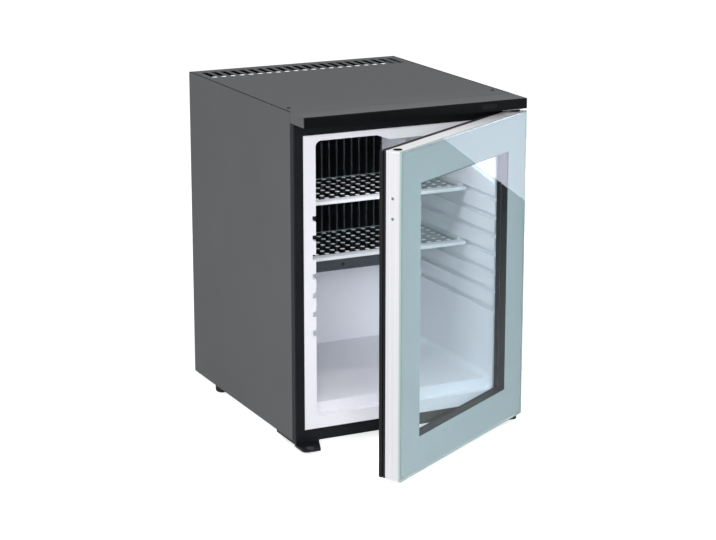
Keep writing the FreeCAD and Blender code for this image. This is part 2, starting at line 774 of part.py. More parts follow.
hinge_plate_low = header_low - s.hinge_plate
upper_bracket = piece("upper_hinge_plate")
pad(upper_bracket, "XY", hinge_plate_low, header_low,
    round_rect(half - s.hinge_plate_width, bracket_front, half - s.frame_round, face, s.frame_round))
upper_pin = piece("upper_hinge_pin")
pad(upper_pin, "XY", door_high - s.pin_reach, hinge_plate_low, disc(hinge_x, hinge_y, s.pin_radius))

for sign in (-1, 1):
    pad(screws, "XY", bracket_low - s.screw_head, bracket_low,
        disc(bracket_screw_x * sign, bracket_screw_y, s.screw_head_radius))

rear_foot_x = half - s.rear_foot_edge
rear_foot_y = bulkhead + s.base_tail - s.rear_foot_inset
for name, across, along, high in (
    ("front_feet", front_foot_x, front_foot_y, bracket_low),
    ("rear_feet", rear_foot_x, rear_foot_y, base),
):
    feet = piece(name)
    pad(feet, "XY", 0, high, disc(across, along, s.foot_radius), disc(-across, along, s.foot_radius))
    round_edges(feet, s.foot_round, up=as_size(0))

# Door frame: hollow stiles with caps at their ends, and rails between the stiles
stile_front = door_front + s.door_glass
stile_inner = half - s.door_stile
stile_lip = stile_inner - s.door_lip
stile_low, stile_high = door_low + s.door_cap, door_high - s.door_cap
chamber_outer, chamber_inner = half - s.door_wall, stile_inner + s.door_wall
chamber_front, chamber_rear = stile_front + s.door_wall, door_rear - s.door_wall
for side, sign in (("free", -1), ("hinge", 1)):
    stile = piece(f"door_{side}_stile")
    pad(stile, "XY", stile_low, stile_high,
        poly((half * sign, stile_front), (half * sign, door_rear), (stile_lip * sign, door_rear),
             (stile_lip * sign, pane_rear), (stile_inner * sign, pane_rear),
             (stile_inner * sign, stile_front)),
        poly((chamber_outer * sign, chamber_front), (chamber_outer * sign, chamber_rear),
             (chamber_inner * sign, chamber_rear), (chamber_inner * sign, chamber_front)))
    lip_end = poly((stile_inner * sign, pane_rear), (stile_inner * sign, door_rear),
                   (stile_lip * sign, door_rear), (stile_lip * sign, pane_rear))
    cut(stile, "XY", pane_high, stile_high, lip_end)
    cut(stile, "XY", stile_low, pane_low, lip_end)
    swing(stile)
for name, outer, inner, sign in (("top", door_high, pane_high, 1), ("bottom", door_low, pane_low, -1)):
    rail = piece(f"door_{name}_rail")
    lip = inner - s.door_lip * sign
    wall = s.door_wall * sign
    pad(rail, "YZ", -stile_inner, stile_inner,
        poly((stile_front, outer), (door_rear, outer), (door_rear, lip), (pane_rear, lip),
             (pane_rear, inner), (stile_front, inner)),
        poly((chamber_front, outer - wall), (chamber_rear, outer - wall),
             (chamber_rear, inner + wall), (chamber_front, inner + wall)))
    cut(rail, "YZ", stile_lip, stile_inner, rect(pane_rear, inner, door_rear, lip))
    cut(rail, "YZ", -stile_inner, -stile_lip, rect(pane_rear, inner, door_rear, lip))
    swing(rail)

caps = piece("door_corner_caps")
spigot_outer, spigot_inner = chamber_outer - s.seat_gap, chamber_inner + s.seat_gap
spigot_front, spigot_rear = chamber_front + s.seat_gap, chamber_rear - s.seat_gap
for sign in (-1, 1):
    plate = poly((half * sign, stile_front), (half * sign, door_rear), (stile_inner * sign, door_rear),
                 (stile_inner * sign, stile_front))
    spigot = poly((spigot_outer * sign, spigot_front), (spigot_outer * sign, spigot_rear),
                  (spigot_inner * sign, spigot_rear), (spigot_inner * sign, spigot_front))
    socket = disc(hinge_x * sign, hinge_y, s.bush_radius)
    for low, high, foot_low, foot_high in (
        (door_low, stile_low, stile_low, stile_low + s.door_cap_spigot),
        (stile_high, door_high, stile_high - s.door_cap_spigot, stile_high),
    ):
        pad(caps, "XY", low, high, plate)
        pad(caps, "XY", foot_low, foot_high, spigot)
    cut(caps, "XY", door_low, door_low + s.bush_seat, socket)
    cut(caps, "XY", door_high - s.bush_seat, door_high, socket)
swing(caps)

bushes = piece("hinge_bushes")
bore = disc(hinge_x, hinge_y, s.pin_radius + s.pin_fit)
bush_rim = door_low - nose_high - s.seat_gap
for seat_low, seat_high, rim_low, rim_high in (
    (door_low, door_low + s.bush_seat, door_low - bush_rim, door_low),
    (door_high - s.bush_seat, door_high, door_high, hinge_plate_low - s.seat_gap),
):
    pad(bushes, "XY", seat_low, seat_high, disc(hinge_x, hinge_y, s.bush_radius), bore)
    pad(bushes, "XY", rim_low, rim_high, disc(hinge_x, hinge_y, s.bush_flange_radius), bore)
swing(bushes)

plugs = piece("spare_hinge_plugs")
pad(plugs, "XY", door_low, door_low + s.bush_seat, disc(-hinge_x, hinge_y, s.bush_radius))
pad(plugs, "XY", door_high - s.bush_seat, door_high + s.plug_proud, disc(-hinge_x, hinge_y, s.bush_radius))
swing(plugs)

edge_screws = piece("door_edge_screws")
edge_screw_y = (stile_front + door_rear) / 2
edge_screw_z = door_high - s.edge_screw_drop
pad(edge_screws, "YZ", -half - s.edge_screw_head, -half,
    disc(edge_screw_y, edge_screw_z, s.edge_screw_radius),
    disc(edge_screw_y, edge_screw_z - s.edge_screw_spacing, s.edge_screw_radius))
swing(edge_screws)

# Double glazing: the outer pane covers the whole front, the inner one sits in the frame
front_glass = piece("door_front_glass")
pad(front_glass, "XZ", door_front, stile_front, rect(-half, door_low, half, door_high))
swing(front_glass)
spacer = piece("glass_spacer")
edge_half, edge_low, edge_high = pane_half - s.seat_gap, pane_low + s.seat_gap, pane_high - s.seat_gap
pad(spacer, "XZ", stile_front, stile_front + s.pane_gap, rect(-edge_half, edge_low, edge_half, edge_high),
    rect(-edge_half + s.spacer_width, edge_low + s.spacer_width,
         edge_half - s.spacer_width, edge_high - s.spacer_width))
swing(spacer)
inner_glass = piece("door_inner_glass")
pad(inner_glass, "XZ", stile_front + s.pane_gap, pane_rear,
    rect(-edge_half, edge_low, edge_half, edge_high))
swing(inner_glass)

# Gasket: a carrier, a neck and a sealing bead; at the hinge the bead keeps inside the hinge's line
gasket_rear = face - s.seat_gap
gasket = piece("door_gasket")


def gasket_ring(low, high, inset, hinge_edge):
    left, bottom, summit = -half + s.gasket_inset, door_low + s.gasket_inset, door_high - s.gasket_inset
    width = s.gasket_width - inset
    pad(gasket, "XZ", low, high, rect(left + inset, bottom + inset, hinge_edge - inset, summit - inset),
        rect(left + width, bottom + width, hinge_x - width, summit - width))


carrier_rear = door_rear + s.gasket_carrier
neck_rear = carrier_rear + s.gasket_neck
gasket_ring(door_rear, carrier_rear, as_size(0), half - s.gasket_inset)
gasket_ring(carrier_rear, neck_rear, s.gasket_neck_inset, hinge_x)
gasket_ring(neck_rear, gasket_rear, as_size(0), hinge_x)
swing(gasket)

# Absorption unit: boiler, vapour tube, finned condenser, feed and return tubes, absorber coil and tank
boiler = piece("boiler_jacket")
pad(boiler, "XY", boiler_low, boiler_high, disc(boiler_x, unit, s.boiler_radius))
pad(boiler, "XY", boiler_low + s.rim_height, boiler_low + s.rim_height * 2,
    disc(boiler_x, unit, s.boiler_radius + s.rim_step))
pad(boiler, "XY", boiler_high - s.rim_height * 2, boiler_high - s.rim_height,
    disc(boiler_x, unit, s.boiler_radius + s.rim_step))
control_left = -half + s.control_edge
control_right = control_left + s.control_width
coil_start = control_right + s.control_gap + s.tube_radius
tank_left = coil_start + s.coil_drop
tank_right = boiler_x - s.tank_elbow
tank = piece("absorber_tank")
pad(tank, "YZ", tank_left, tank_right, disc(unit, tank_z, s.tank_radius))

condenser_left = -half + s.condenser_edge
condenser_right = boiler_x - s.vapour_bend - s.condenser_gap
bent_tube("condenser_tube",
          [(boiler_x, unit, boiler_high), (boiler_x, unit, condenser_z),
           (condenser_left, unit, condenser_z)],
          s.vapour_bend, s.vapour_radius)
condenser_fins = piece("condenser_fins")
plate_count = copies(condenser_right - condenser_left - s.condenser_margin * 2, s.condenser_fin_pitch)
first_plate = (condenser_right + condenser_left) / 2 - s.condenser_fin_pitch * ((plate_count - 1) / 2)
plate = pad(condenser_fins, "YZ", first_plate, first_plate + s.condenser_fin_thickness,
            rect(unit - s.condenser_fin_width / 2, condenser_z - s.condenser_fin_height / 2,
                 unit + s.condenser_fin_width / 2, condenser_z + s.condenser_fin_height / 2),
            disc(unit, condenser_z, s.vapour_radius + s.pin_fit))
pattern(condenser_fins, plate, "X", s.condenser_fin_pitch, plate_count)

feed_x = -half + s.feed_edge
bent_tube("evaporator_feed_tube",
          [(condenser_left, unit, condenser_z), (feed_x, unit, condenser_z), (feed_x, unit, feed_z),
           (-s.feed_offset, unit, feed_z), (-s.feed_offset, stub_rear, feed_z)],
          s.coil_bend, s.tube_radius)
coil_low = base + s.coil_low
coil_left, coil_right = -half + s.coil_edge, boiler_x - s.boiler_radius - s.coil_gap
coil = [(tank_left, unit, tank_z), (coil_start, unit, tank_z), (coil_start, unit, coil_low)]
for number in range(COIL_PASS_COUNT):
    side = coil_left if number % 2 else coil_right
    level = coil_low + s.coil_rise * number
    coil += [(side, unit, level), (side, unit, level + s.coil_rise)]
coil_high = coil_low + s.coil_rise * COIL_PASS_COUNT
coil += [(-s.feed_offset, unit, coil_high), (-s.feed_offset, unit, return_z),
         (-s.feed_offset, stub_rear, return_z)]
bent_tube("absorber_coil", coil, s.coil_bend, s.tube_radius)
bent_tube("heat_exchanger_tube",
          [(tank_right, unit, tank_z), (boiler_x, unit, tank_z), (boiler_x, unit, boiler_low)],
          s.vapour_bend, s.vapour_radius)

saddles = piece("unit_saddles")
boiler_saddle_low = boiler_low + s.boiler_height / 2
pad(saddles, "XY", boiler_saddle_low, boiler_saddle_low + s.saddle_height,
    rect(boiler_x - s.saddle_width / 2, bay, boiler_x + s.saddle_width / 2, bay + s.saddle_reach))
tank_middle = (tank_left + tank_right) / 2
pad(saddles, "YZ", tank_middle - s.saddle_width / 2, tank_middle + s.saddle_width / 2,
    rect(bay, tank_z - s.saddle_height / 2, bay + s.saddle_reach, tank_z + s.saddle_height / 2))
cut(saddles, "XY", boiler_saddle_low, boiler_saddle_low + s.saddle_height,
    disc(boiler_x, unit, s.boiler_radius + s.pin_fit))
cut(saddles, "YZ", tank_middle - s.saddle_width / 2, tank_middle + s.saddle_width / 2,
    disc(unit, tank_z, s.tank_radius + s.pin_fit))

control_low = base + s.control_low
control_high = control_low + s.control_height
control_rear = bay + s.control_depth
control = piece("control_box")
pad(control, "XZ", bay, control_rear,
    round_rect(control_left, control_low, control_right, control_high, s.control_round))
gland_x = (control_left + control_right) / 2
gland_z = (control_low + control_high) / 2
gland = piece("mains_gland")
gland_step, gland_end = control_rear + s.gland_flange, control_rear + s.gland_length
pad(gland, "XZ", control_rear, gland_step, disc(gland_x, gland_z, s.gland_flange_radius))
pad(gland, "XZ", gland_step, gland_end, disc(gland_x, gland_z, s.gland_radius))
cut(gland, "XZ", gland_step, gland_end, disc(gland_x, gland_z, s.gland_bore))

basin_high = drain_z - s.drain_radius - s.seat_gap
basin_low = basin_high - s.basin_height
basin_left = s.trough_screw_offset - s.basin_width / 2
basin_right = basin_left + s.basin_width
basin = piece("evaporation_basin")
pad(basin, "XY", basin_low, basin_high, rect(basin_left, bay, basin_right, basin_rear))
cut(basin, "XY", basin_low + s.basin_wall, basin_high,
    rect(basin_left + s.basin_wall, bay + s.basin_wall,
         basin_right - s.basin_wall, basin_rear - s.basin_wall))

doc.recompute()
failed = [item.Name for item in doc.Objects if "Invalid" in item.State or "Error" in item.State]
if failed:
    raise ValueError(f"failed: {failed}")
for name, item in parts.items():
    if item.Shape.isNull() or not item.Shape.isValid():
        raise ValueError(f"{name} has no valid shape")
os.makedirs("parts", exist_ok=True)
for name, item in parts.items():
    item.Shape.exportStep(f"parts/{name}.step")
print(len(parts), "sub-parts")
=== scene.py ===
import json
import math

import bmesh
import bpy
from mathutils import Matrix, Vector


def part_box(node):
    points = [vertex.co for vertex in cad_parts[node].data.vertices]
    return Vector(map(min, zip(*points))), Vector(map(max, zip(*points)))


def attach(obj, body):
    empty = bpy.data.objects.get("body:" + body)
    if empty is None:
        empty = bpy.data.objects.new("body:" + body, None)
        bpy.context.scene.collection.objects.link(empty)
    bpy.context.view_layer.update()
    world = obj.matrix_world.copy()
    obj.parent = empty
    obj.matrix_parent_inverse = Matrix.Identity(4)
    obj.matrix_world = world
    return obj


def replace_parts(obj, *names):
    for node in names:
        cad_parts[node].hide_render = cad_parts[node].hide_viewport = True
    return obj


# The looks of a small fridge with a glass door, on the frame that its CAD gives
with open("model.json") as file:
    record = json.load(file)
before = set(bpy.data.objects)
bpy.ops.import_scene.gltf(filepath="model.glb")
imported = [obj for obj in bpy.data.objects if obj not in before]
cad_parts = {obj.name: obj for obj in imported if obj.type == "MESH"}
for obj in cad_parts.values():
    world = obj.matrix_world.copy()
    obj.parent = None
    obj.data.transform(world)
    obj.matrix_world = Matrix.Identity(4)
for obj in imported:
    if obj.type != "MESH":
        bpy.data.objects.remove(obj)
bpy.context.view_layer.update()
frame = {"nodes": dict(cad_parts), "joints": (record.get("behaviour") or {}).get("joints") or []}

# Metres are the frame's unit. A cutting tool runs past what it cuts, and points this close count as one.
MM = 0.001
OVERRUN, MERGE = 2.0 * MM, 0.001 * MM
UP, DOWN, FORWARD, LEFT = Vector((0, 0, 1)), Vector((0, 0, -1)), Vector((0, -1, 0)), Vector((-1, 0, 0))

# The door rests ajar on its hinge. Its pieces are drawn in the closed door's plane and turned with it.
hinge = next(joint for joint in frame["joints"] if joint["name"] == "door_hinge")
HINGE = Vector(hinge["pos_m"])
DOOR_AJAR = math.radians(-hinge["range_deg"][0])
DOOR_TURN = Matrix.Translation(HINGE) @ Matrix.Rotation(DOOR_AJAR, 4, "Z") @ Matrix.Translation(-HINGE)
DOOR_FACES = DOOR_TURN.to_3x3() @ FORWARD
FREE_EDGE_FACES = DOOR_TURN.to_3x3() @ LEFT

panel_low, panel_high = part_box("top_panel")


# Helpers

def linear(code):
    """A colour written as sRGB hex, as Blender's linear red, green, blue and alpha."""
    shares = [int(code[k:k + 2], 16) / 255 for k in (1, 3, 5)]
    return (*[v / 12.92 if v <= 0.04045 else ((v + 0.055) / 1.055) ** 2.4 for v in shares], 1.0)


def per(size_mm):
    """The texture scale whose features are this many millimetres across."""
    return 1 / (size_mm * MM)


def add(tree, kind, inputs=None, **settings):
    """Adds a node with its settings; each input is a value, or the socket that feeds it."""
    made = tree.nodes.new(kind)
    for name, value in settings.items():
        setattr(made, name, value)
    for name, value in (inputs or {}).items():
        if isinstance(value, bpy.types.NodeSocket):
            tree.links.new(value, made.inputs[name])
        else:
            made.inputs[name].default_value = value
    return made


def start(name, inputs):
    """A new material with its shader's plain values, its tree, the shader and its object coordinates."""
    stuff = bpy.data.materials.new(name)
    stuff.use_nodes = True
    tree = stuff.node_tree
    shader = tree.nodes["Principled BSDF"]
    for socket, value in inputs.items():
        shader.inputs[socket].default_value = value
    return stuff, tree, shader, add(tree, "ShaderNodeTexCoord").outputs["Object"]


def link(tree, shader, **sockets):
    """Feeds a shader's sockets from nodes."""
    for socket, source in sockets.items():
        tree.links.new(source, shader.inputs[socket.replace("_", " ")])


def dress(stuff, *names):
    """Gives CAD nodes their material."""
    for name in names:
        shown = frame["nodes"][name]
        if not shown.material_slots:
            shown.data.materials.append(stuff)
        for place in shown.material_slots:
            place.material = stuff


def put(name, data):
    """A new object in the scene, at the origin."""
    made = bpy.data.objects.new(name, data)
    bpy.context.scene.collection.objects.link(made)
    return made


def as_piece(name, mesh, body, stuff):
    """A finished mesh as a piece of the object, riding on its body."""
    made = put(name, mesh)
    if not mesh.materials:
        mesh.materials.append(stuff)
    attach(made, body)
    return made


def closed_box(node):
    """A door node's lowest and highest corners, with the door closed."""
    shut = DOOR_TURN.inverted()
    axes = list(zip(*[shut @ corner.co for corner in frame["nodes"][node].data.vertices]))
    return Vector([min(places) for places in axes]), Vector([max(places) for places in axes])


def settled(name, form):
    """A finished form as a mesh."""
    mesh = bpy.data.meshes.new(name)
    form.to_mesh(mesh)
    form.free()
    return mesh


def carved(mesh, cutter):
    """A closed mesh with another cut out of it, and no material yet."""
    stock = put("stock", mesh)
    tool = put("tool", cutter)
    cut = stock.modifiers.new("cut", "BOOLEAN")
    cut.object = tool
    cut.solver = "EXACT"
    cut.use_self = True
    graph = bpy.context.evaluated_depsgraph_get()
    left = bpy.data.meshes.new_from_object(stock.evaluated_get(graph))
    left.materials.clear()
    bpy.data.objects.remove(stock)
    bpy.data.objects.remove(tool)
    return left


def bars_mesh(name, spans):
    """Plain bars, each given by its lowest and highest corners."""
    form = bmesh.new()
    for low, high in spans:
        bar = bmesh.ops.create_cube(form, size=1.0)["verts"]
        size, middle = Vector(high) - Vector(low), (Vector(high) + Vector(low)) / 2
        place = Matrix.Translation(middle) @ Matrix.Diagonal((*size, 1))
        bmesh.ops.transform(form, matrix=place, verts=bar)
    return settled(name, form)


def geometry_tree(name, sockets):
    """A new geometry tree with its named inputs and one output of geometry; gives it and those inputs."""
    tree = bpy.data.node_groups.new(name, "GeometryNodeTree")
    for socket, kind in sockets.items():
        tree.interface.new_socket(socket, in_out="INPUT", socket_type="NodeSocket" + kind)
    tree.interface.new_socket("Made", in_out="OUTPUT", socket_type="NodeSocketGeometry")
    return tree, add(tree, "NodeGroupInput").outputs


def end_tree(tree, made, stuff):
    """Ends a geometry tree in real geometry that has its material."""
    real = add(tree, "GeometryNodeRealizeInstances", {"Geometry": made})
    coated = add(tree, "GeometryNodeSetMaterial", {"Geometry": real.outputs[0], "Material": stuff})
    add(tree, "NodeGroupOutput", {"Made": coated.outputs[0]})


def grown(name, base, tree, inputs):
    """The plain mesh that a geometry tree grows on a base mesh, with the tree's named inputs set first."""
    seed = put(name, base)
    modifier = seed.modifiers.new(name, "NODES")
    modifier.node_group = tree
    for item in tree.interface.items_tree:
        if item.name in inputs:
            modifier[item.identifier] = inputs[item.name]
    graph = bpy.context.evaluated_depsgraph_get()
    mesh = bpy.data.meshes.new_from_object(seed.evaluated_get(graph))
    mesh.name = name
    seed.modifiers.clear()
    bpy.data.objects.remove(seed)
    return mesh


# Families of finishes

# A metal's streak is this many times as long as it is wide. Glass has less than its real IOR of about 1.5,
# so that it mirrors no more than in the photograph.
STREAK_LENGTHS, GLASS_IOR = 300.0, 1.25


def moulded(name, light, dark, roughness, grain_mm, depth_mm, cloud_mm=60.0, shine=0.3):
    """Moulded, cast or sprayed stuff: its grain in height and gloss, and faint clouds in its colour."""
    stuff, tree, shader, at = start(name, {"Roughness": roughness, "Specular IOR Level": shine})
    cloud = add(tree, "ShaderNodeTexNoise", {"Vector": at, "Scale": per(cloud_mm), "Detail": 3.0})
    grain = add(tree, "ShaderNodeTexNoise", {"Vector": at, "Scale": per(grain_mm), "Detail": 2.0})
    colour = add(tree, "ShaderNodeMix", {0: cloud.outputs["Fac"], 6: linear(light), 7: linear(dark)},
                 data_type="RGBA")
    rough = add(tree, "ShaderNodeMapRange", {"Value": grain.outputs["Fac"], "To Min": roughness - 0.05,
                                             "To Max": roughness + 0.05})
    bump = add(tree, "ShaderNodeBump", {"Height": grain.outputs["Fac"], "Strength": 0.6,
                                        "Distance": depth_mm * MM})
    link(tree, shader, Base_Color=colour.outputs[2], Roughness=rough.outputs[0], Normal=bump.outputs[0])
    return stuff


def metal(name, light, dark, roughness, streak_mm, along, turn=0.0, metallic=1.0):
    """Drawn, turned or brushed metal: fine streaks along one way, in tone, gloss and height."""
    stuff, tree, shader, at = start(name, {"Metallic": metallic, "Roughness": roughness})
    stretch = [1.0, 1.0, 1.0]
    stretch["XYZ".index(along)] = STREAK_LENGTHS
    laid = add(tree, "ShaderNodeMapping", {"Vector": at, "Rotation": (0.0, 0.0, turn), "Scale": stretch},
               vector_type="TEXTURE")
    streak = add(tree, "ShaderNodeTexNoise", {"Vector": laid.outputs[0], "Scale": per(streak_mm),
                                              "Detail": 2.0})
    colour = add(tree, "ShaderNodeMix", {0: streak.outputs["Fac"], 6: linear(light), 7: linear(dark)},
                 data_type="RGBA")
    rough = add(tree, "ShaderNodeMapRange", {"Value": streak.outputs["Fac"], "To Min": roughness - 0.07,
                                             "To Max": roughness + 0.07})
    bump = add(tree, "ShaderNodeBump", {"Height": streak.outputs["Fac"], "Strength": 0.25,
                                        "Distance": 0.05 * MM})
    link(tree, shader, Base_Color=colour.outputs[2], Roughness=rough.outputs[0], Normal=bump.outputs[0])
    return stuff


def pane(name, tint, faces):
    """Float glass: clear and flat, and it lets the lamps' light through. Its edges, which are square to the
    way that the pane faces, are ground and pale."""
    stuff, tree, shader, at = start(name, {"Base Color": linear(tint), "Roughness": 0.0, "IOR": GLASS_IOR,
                                           "Transmission Weight": 1.0})
    ripple = add(tree, "ShaderNodeTexNoise", {"Vector": at, "Scale": per(120.0), "Detail": 1.0})
    bump = add(tree, "ShaderNodeBump", {"Height": ripple.outputs["Fac"], "Strength": 0.1,
                                        "Distance": 0.05 * MM})
    link(tree, shader, Normal=bump.outputs[0])
    ray = add(tree, "ShaderNodeLightPath")
    through = add(tree, "ShaderNodeBsdfTransparent", {"Color": linear(tint)})
    clear = add(tree, "ShaderNodeMixShader", {0: ray.outputs["Is Shadow Ray"], 1: shader.outputs[0],
                                              2: through.outputs[0]})
    normal = add(tree, "ShaderNodeTexCoord").outputs["Normal"]
    square = add(tree, "ShaderNodeVectorMath", {0: normal, 1: faces}, operation="DOT_PRODUCT")
    level = add(tree, "ShaderNodeMath", {0: square.outputs["Value"]}, operation="ABSOLUTE")
    edge = add(tree, "ShaderNodeMath", {0: level.outputs[0], 1: 0.5}, operation="LESS_THAN")
    ground = add(tree, "ShaderNodeBsdfDiffuse", {"Color": linear("#A4B8B5")})
    whole = add(tree, "ShaderNodeMixShader", {0: edge.outputs[0], 1: clear.outputs[0],
                                              2: ground.outputs[0]})
    tree.links.new(whole.outputs[0], tree.nodes["Material Output"].inputs["Surface"])
    return stuff


# Cabinet: sprayed steel, moulded plastics and bare sheet

# Powder-coated sheet steel: satin, with an orange peel that breaks up what it mirrors. The peel is drawn
# at 3 mm, coarser than the real 1 mm, so that it shows.
PEEL_MM, PEEL_DEPTH_MM, PAINT_ROUGHNESS, PAINT_SHINE = 3.0, 0.03, 0.55, 0.06
dress(moulded("Powder-coated sheet steel, satin grey", "#66686A", "#5F6163", PAINT_ROUGHNESS, PEEL_MM,
              PEEL_DEPTH_MM, cloud_mm=140.0, shine=PAINT_SHINE),
      "left_side_panel", "right_side_panel")

# The same paint over the top panel, with painted shade: its faces below the sheet's top and ahead of its
# rear face are near black, which darkens the vents.
PAINTED_SHADE_BELOW, PAINTED_SHADE_AHEAD = 1.5 * MM, 0.5 * MM
paint_with_painted_shade, tree, shader, at = start("Powder-coated sheet steel, painted shade inside",
                                 {"Roughness": PAINT_ROUGHNESS, "Specular IOR Level": PAINT_SHINE})
peel = add(tree, "ShaderNodeTexNoise", {"Vector": at, "Scale": per(PEEL_MM), "Detail": 2.0})
side = add(tree, "ShaderNodeSeparateXYZ", {"Vector": at})
below = add(tree, "ShaderNodeMath", {0: side.outputs["Z"], 1: panel_high.z - PAINTED_SHADE_BELOW},
            operation="LESS_THAN")
ahead = add(tree, "ShaderNodeMath", {0: side.outputs["Y"], 1: panel_high.y - PAINTED_SHADE_AHEAD},
            operation="LESS_THAN")
inside = add(tree, "ShaderNodeMath", {0: below.outputs[0], 1: ahead.outputs[0]}, operation="MULTIPLY")
# Near black where both masks meet: painted shade inside the folds.
coat = add(tree, "ShaderNodeMix", {0: inside.outputs[0], 6: linear("#636567"), 7: linear("#070708")},
           data_type="RGBA")
bump = add(tree, "ShaderNodeBump", {"Height": peel.outputs["Fac"], "Strength": 0.6,
                                    "Distance": PEEL_DEPTH_MM * MM})
link(tree, shader, Base_Color=coat.outputs[2], Normal=bump.outputs[0])

# Hot-dip galvanised sheet: frost-like zinc crystals about 12 mm across, each with its own tone and gloss.
galvanised, tree, shader, at = start("Hot-dip galvanised sheet steel", {"Metallic": 1.0})
spangle = add(tree, "ShaderNodeTexVoronoi", {"Vector": at, "Scale": per(12.0), "Randomness": 1.0})
shade = add(tree, "ShaderNodeSeparateColor", {"Color": spangle.outputs["Color"]})
tone = add(tree, "ShaderNodeMix", {0: shade.outputs[0], 6: linear("#9CA1A5"), 7: linear("#BFC4C8")},
           data_type="RGBA")
gloss = add(tree, "ShaderNodeMapRange", {"Value": shade.outputs[1], "To Min": 0.32, "To Max": 0.52})
link(tree, shader, Base_Color=tone.outputs[2], Roughness=gloss.outputs[0])
dress(galvanised, "base_panel", "rear_bulkhead", "upper_hinge_plate")

# Turned steel: bright, with the tool's fine rings.
dress(metal("Turned bright steel", "#C6C8CA", "#A6A8AA", roughness=0.25, streak_mm=0.8, along="X"),
      "lower_hinge_pin", "upper_hinge_pin")

# Vacuum-formed polystyrene: white, soft gloss, with the slow ripple of a sheet drawn over its mould.
dress(moulded("Vacuum-formed polystyrene, white", "#E4E2E9", "#DEDCE4", roughness=0.32, grain_mm=9.0,
              depth_mm=0.05, cloud_mm=90.0),
      "liner")

# Poured polyurethane foam: matt and buff, with small open cells.
dress(moulded("Poured polyurethane foam", "#DCCB9A", "#C9B480", roughness=0.9, grain_mm=2.0, depth_mm=0.6,
              cloud_mm=15.0),
      "insulation_foam")

# Grained ABS: black, satin, from a spark-eroded mould. The grain is drawn at 1.6 mm so that it shows.
dress(moulded("Grained ABS, black", "#191A1D", "#131418", roughness=0.46, grain_mm=1.6, depth_mm=0.04,
              shine=0.08),
      "left_frame_stile", "right_frame_stile", "bottom_frame_rail", "top_frame_rail")

# The same plastic in the grey of the paint, and as satin as the paint beside it.
dress(moulded("Grained ABS, satin grey", "#66686A", "#5F6163", PAINT_ROUGHNESS, grain_mm=2.4, depth_mm=0.03,
              shine=PAINT_SHINE),
      "header_shell")

# Gloss ABS: black, from a polished mould, with a soft ripple.
dress(moulded("Polished ABS, black", "#111214", "#0D0E10", roughness=0.25, grain_mm=14.0, depth_mm=0.02,
              shine=0.07),
      "header_fascia")

# Smoked acrylic: near black and very smooth.
dress(moulded("Smoked acrylic", "#08090B", "#0D0E11", roughness=0.07, grain_mm=20.0, depth_mm=0.01,
              shine=0.15),
      "display_lens")

# Polypropylene with talc: black and matt.
dress(moulded("Talc-filled polypropylene, black", "#1A1A1C", "#141416", roughness=0.6, grain_mm=2.0,
              depth_mm=0.05),
      "header_tray")

# Glass-epoxy laminate under green solder mask: copper tracks 1.3 mm apart stand a little proud and paler.
# At scale 1 the brick pattern has four rows to a unit.
TRACK_MM, BRICK_ROWS = 1.3, 4
laminate, tree, shader, at = start("Glass-epoxy laminate, green solder mask", {"Roughness": 0.35})
track = add(tree, "ShaderNodeTexBrick", {"Vector": at, "Scale": per(TRACK_MM * BRICK_ROWS),
                                         "Mortar Size": 0.12, "Color1": linear("#1F6B3F"),
                                         "Color2": linear("#1A5E37"), "Mortar": linear("#2E8752")})
rise = add(tree, "ShaderNodeBump", {"Height": track.outputs["Fac"], "Strength": 0.4, "Distance": 0.05 * MM})
link(tree, shader, Base_Color=track.outputs["Color"], Normal=rise.outputs[0])
dress(laminate, "control_board")

# Moulded ABS of the lamp: clean white with a soft gloss.
dress(moulded("Moulded ABS, white", "#E3E5E8", "#DCDEE2", roughness=0.34, grain_mm=3.0, depth_mm=0.03),
      "lamp_housing")

# Opal polycarbonate: milky, with ribs about 6 mm apart that spread the light. At scale 1 the wave pattern
# repeats in a twentieth of a full turn.
RIB_PITCH_MM, WAVE_LENGTH = 5.94, math.tau / 20
opal, tree, shader, at = start("Ribbed opal polycarbonate", {"Base Color": linear("#F3F3EE"),
                                                             "Roughness": 0.3, "Transmission Weight": 0.25})
rib = add(tree, "ShaderNodeTexWave", {"Vector": at, "Scale": per(RIB_PITCH_MM) * WAVE_LENGTH},
          bands_direction="X")
rise = add(tree, "ShaderNodeBump", {"Height": rib.outputs["Fac"], "Strength": 0.7, "Distance": 0.4 * MM})
link(tree, shader, Normal=rise.outputs[0])
dress(opal, "lamp_lens")

# Extruded aluminium, black anodised: dark and dull, streaked along the evaporator's fins.
dress(metal("Black anodised extruded aluminium", "#3A3D42", "#2A2C30", roughness=0.5, streak_mm=1.5,
            along="Z", metallic=0.7),
      "evaporator_fins")

# Grained ABS of the trough: slate grey and satin.
dress(moulded("Grained ABS, slate grey", "#4E4F56", "#46474D", roughness=0.5, grain_mm=2.0, depth_mm=0.04),
      "drip_trough")

# Natural polypropylene: milky and waxy.
dress(moulded("Natural polypropylene", "#DFE2E3", "#D2D6D8", roughness=0.42, grain_mm=6.0, depth_mm=0.04),
      "drain_tube", "evaporation_basin")

# Shelves: pale runners with a fine grain, a smoother silver edging, and clear toughened plates.
dress(moulded("Moulded polypropylene, pale grey", "#CDCFD2", "#C4C6CA", roughness=0.42, grain_mm=2.0,
              depth_mm=0.04),
      "upper_shelf_runners", "lower_shelf_runners")
dress(moulded("Extruded PVC edging, silver grey", "#D3D5D8", "#CACCD0", roughness=0.36, grain_mm=4.0,
              depth_mm=0.03),
      "upper_shelf_trim", "lower_shelf_trim")
dress(pane("Toughened float glass, clear", "#D5DEDD", UP), "upper_shelf_glass", "lower_shelf_glass")

# Textured powder coat: black, with a fine grit that dulls it.
dress(moulded("Textured powder coat, black", "#141518", "#0D0E11", roughness=0.5, grain_mm=1.8,
              depth_mm=0.08, shine=0.15),
      "left_hinge_bracket", "right_hinge_bracket")

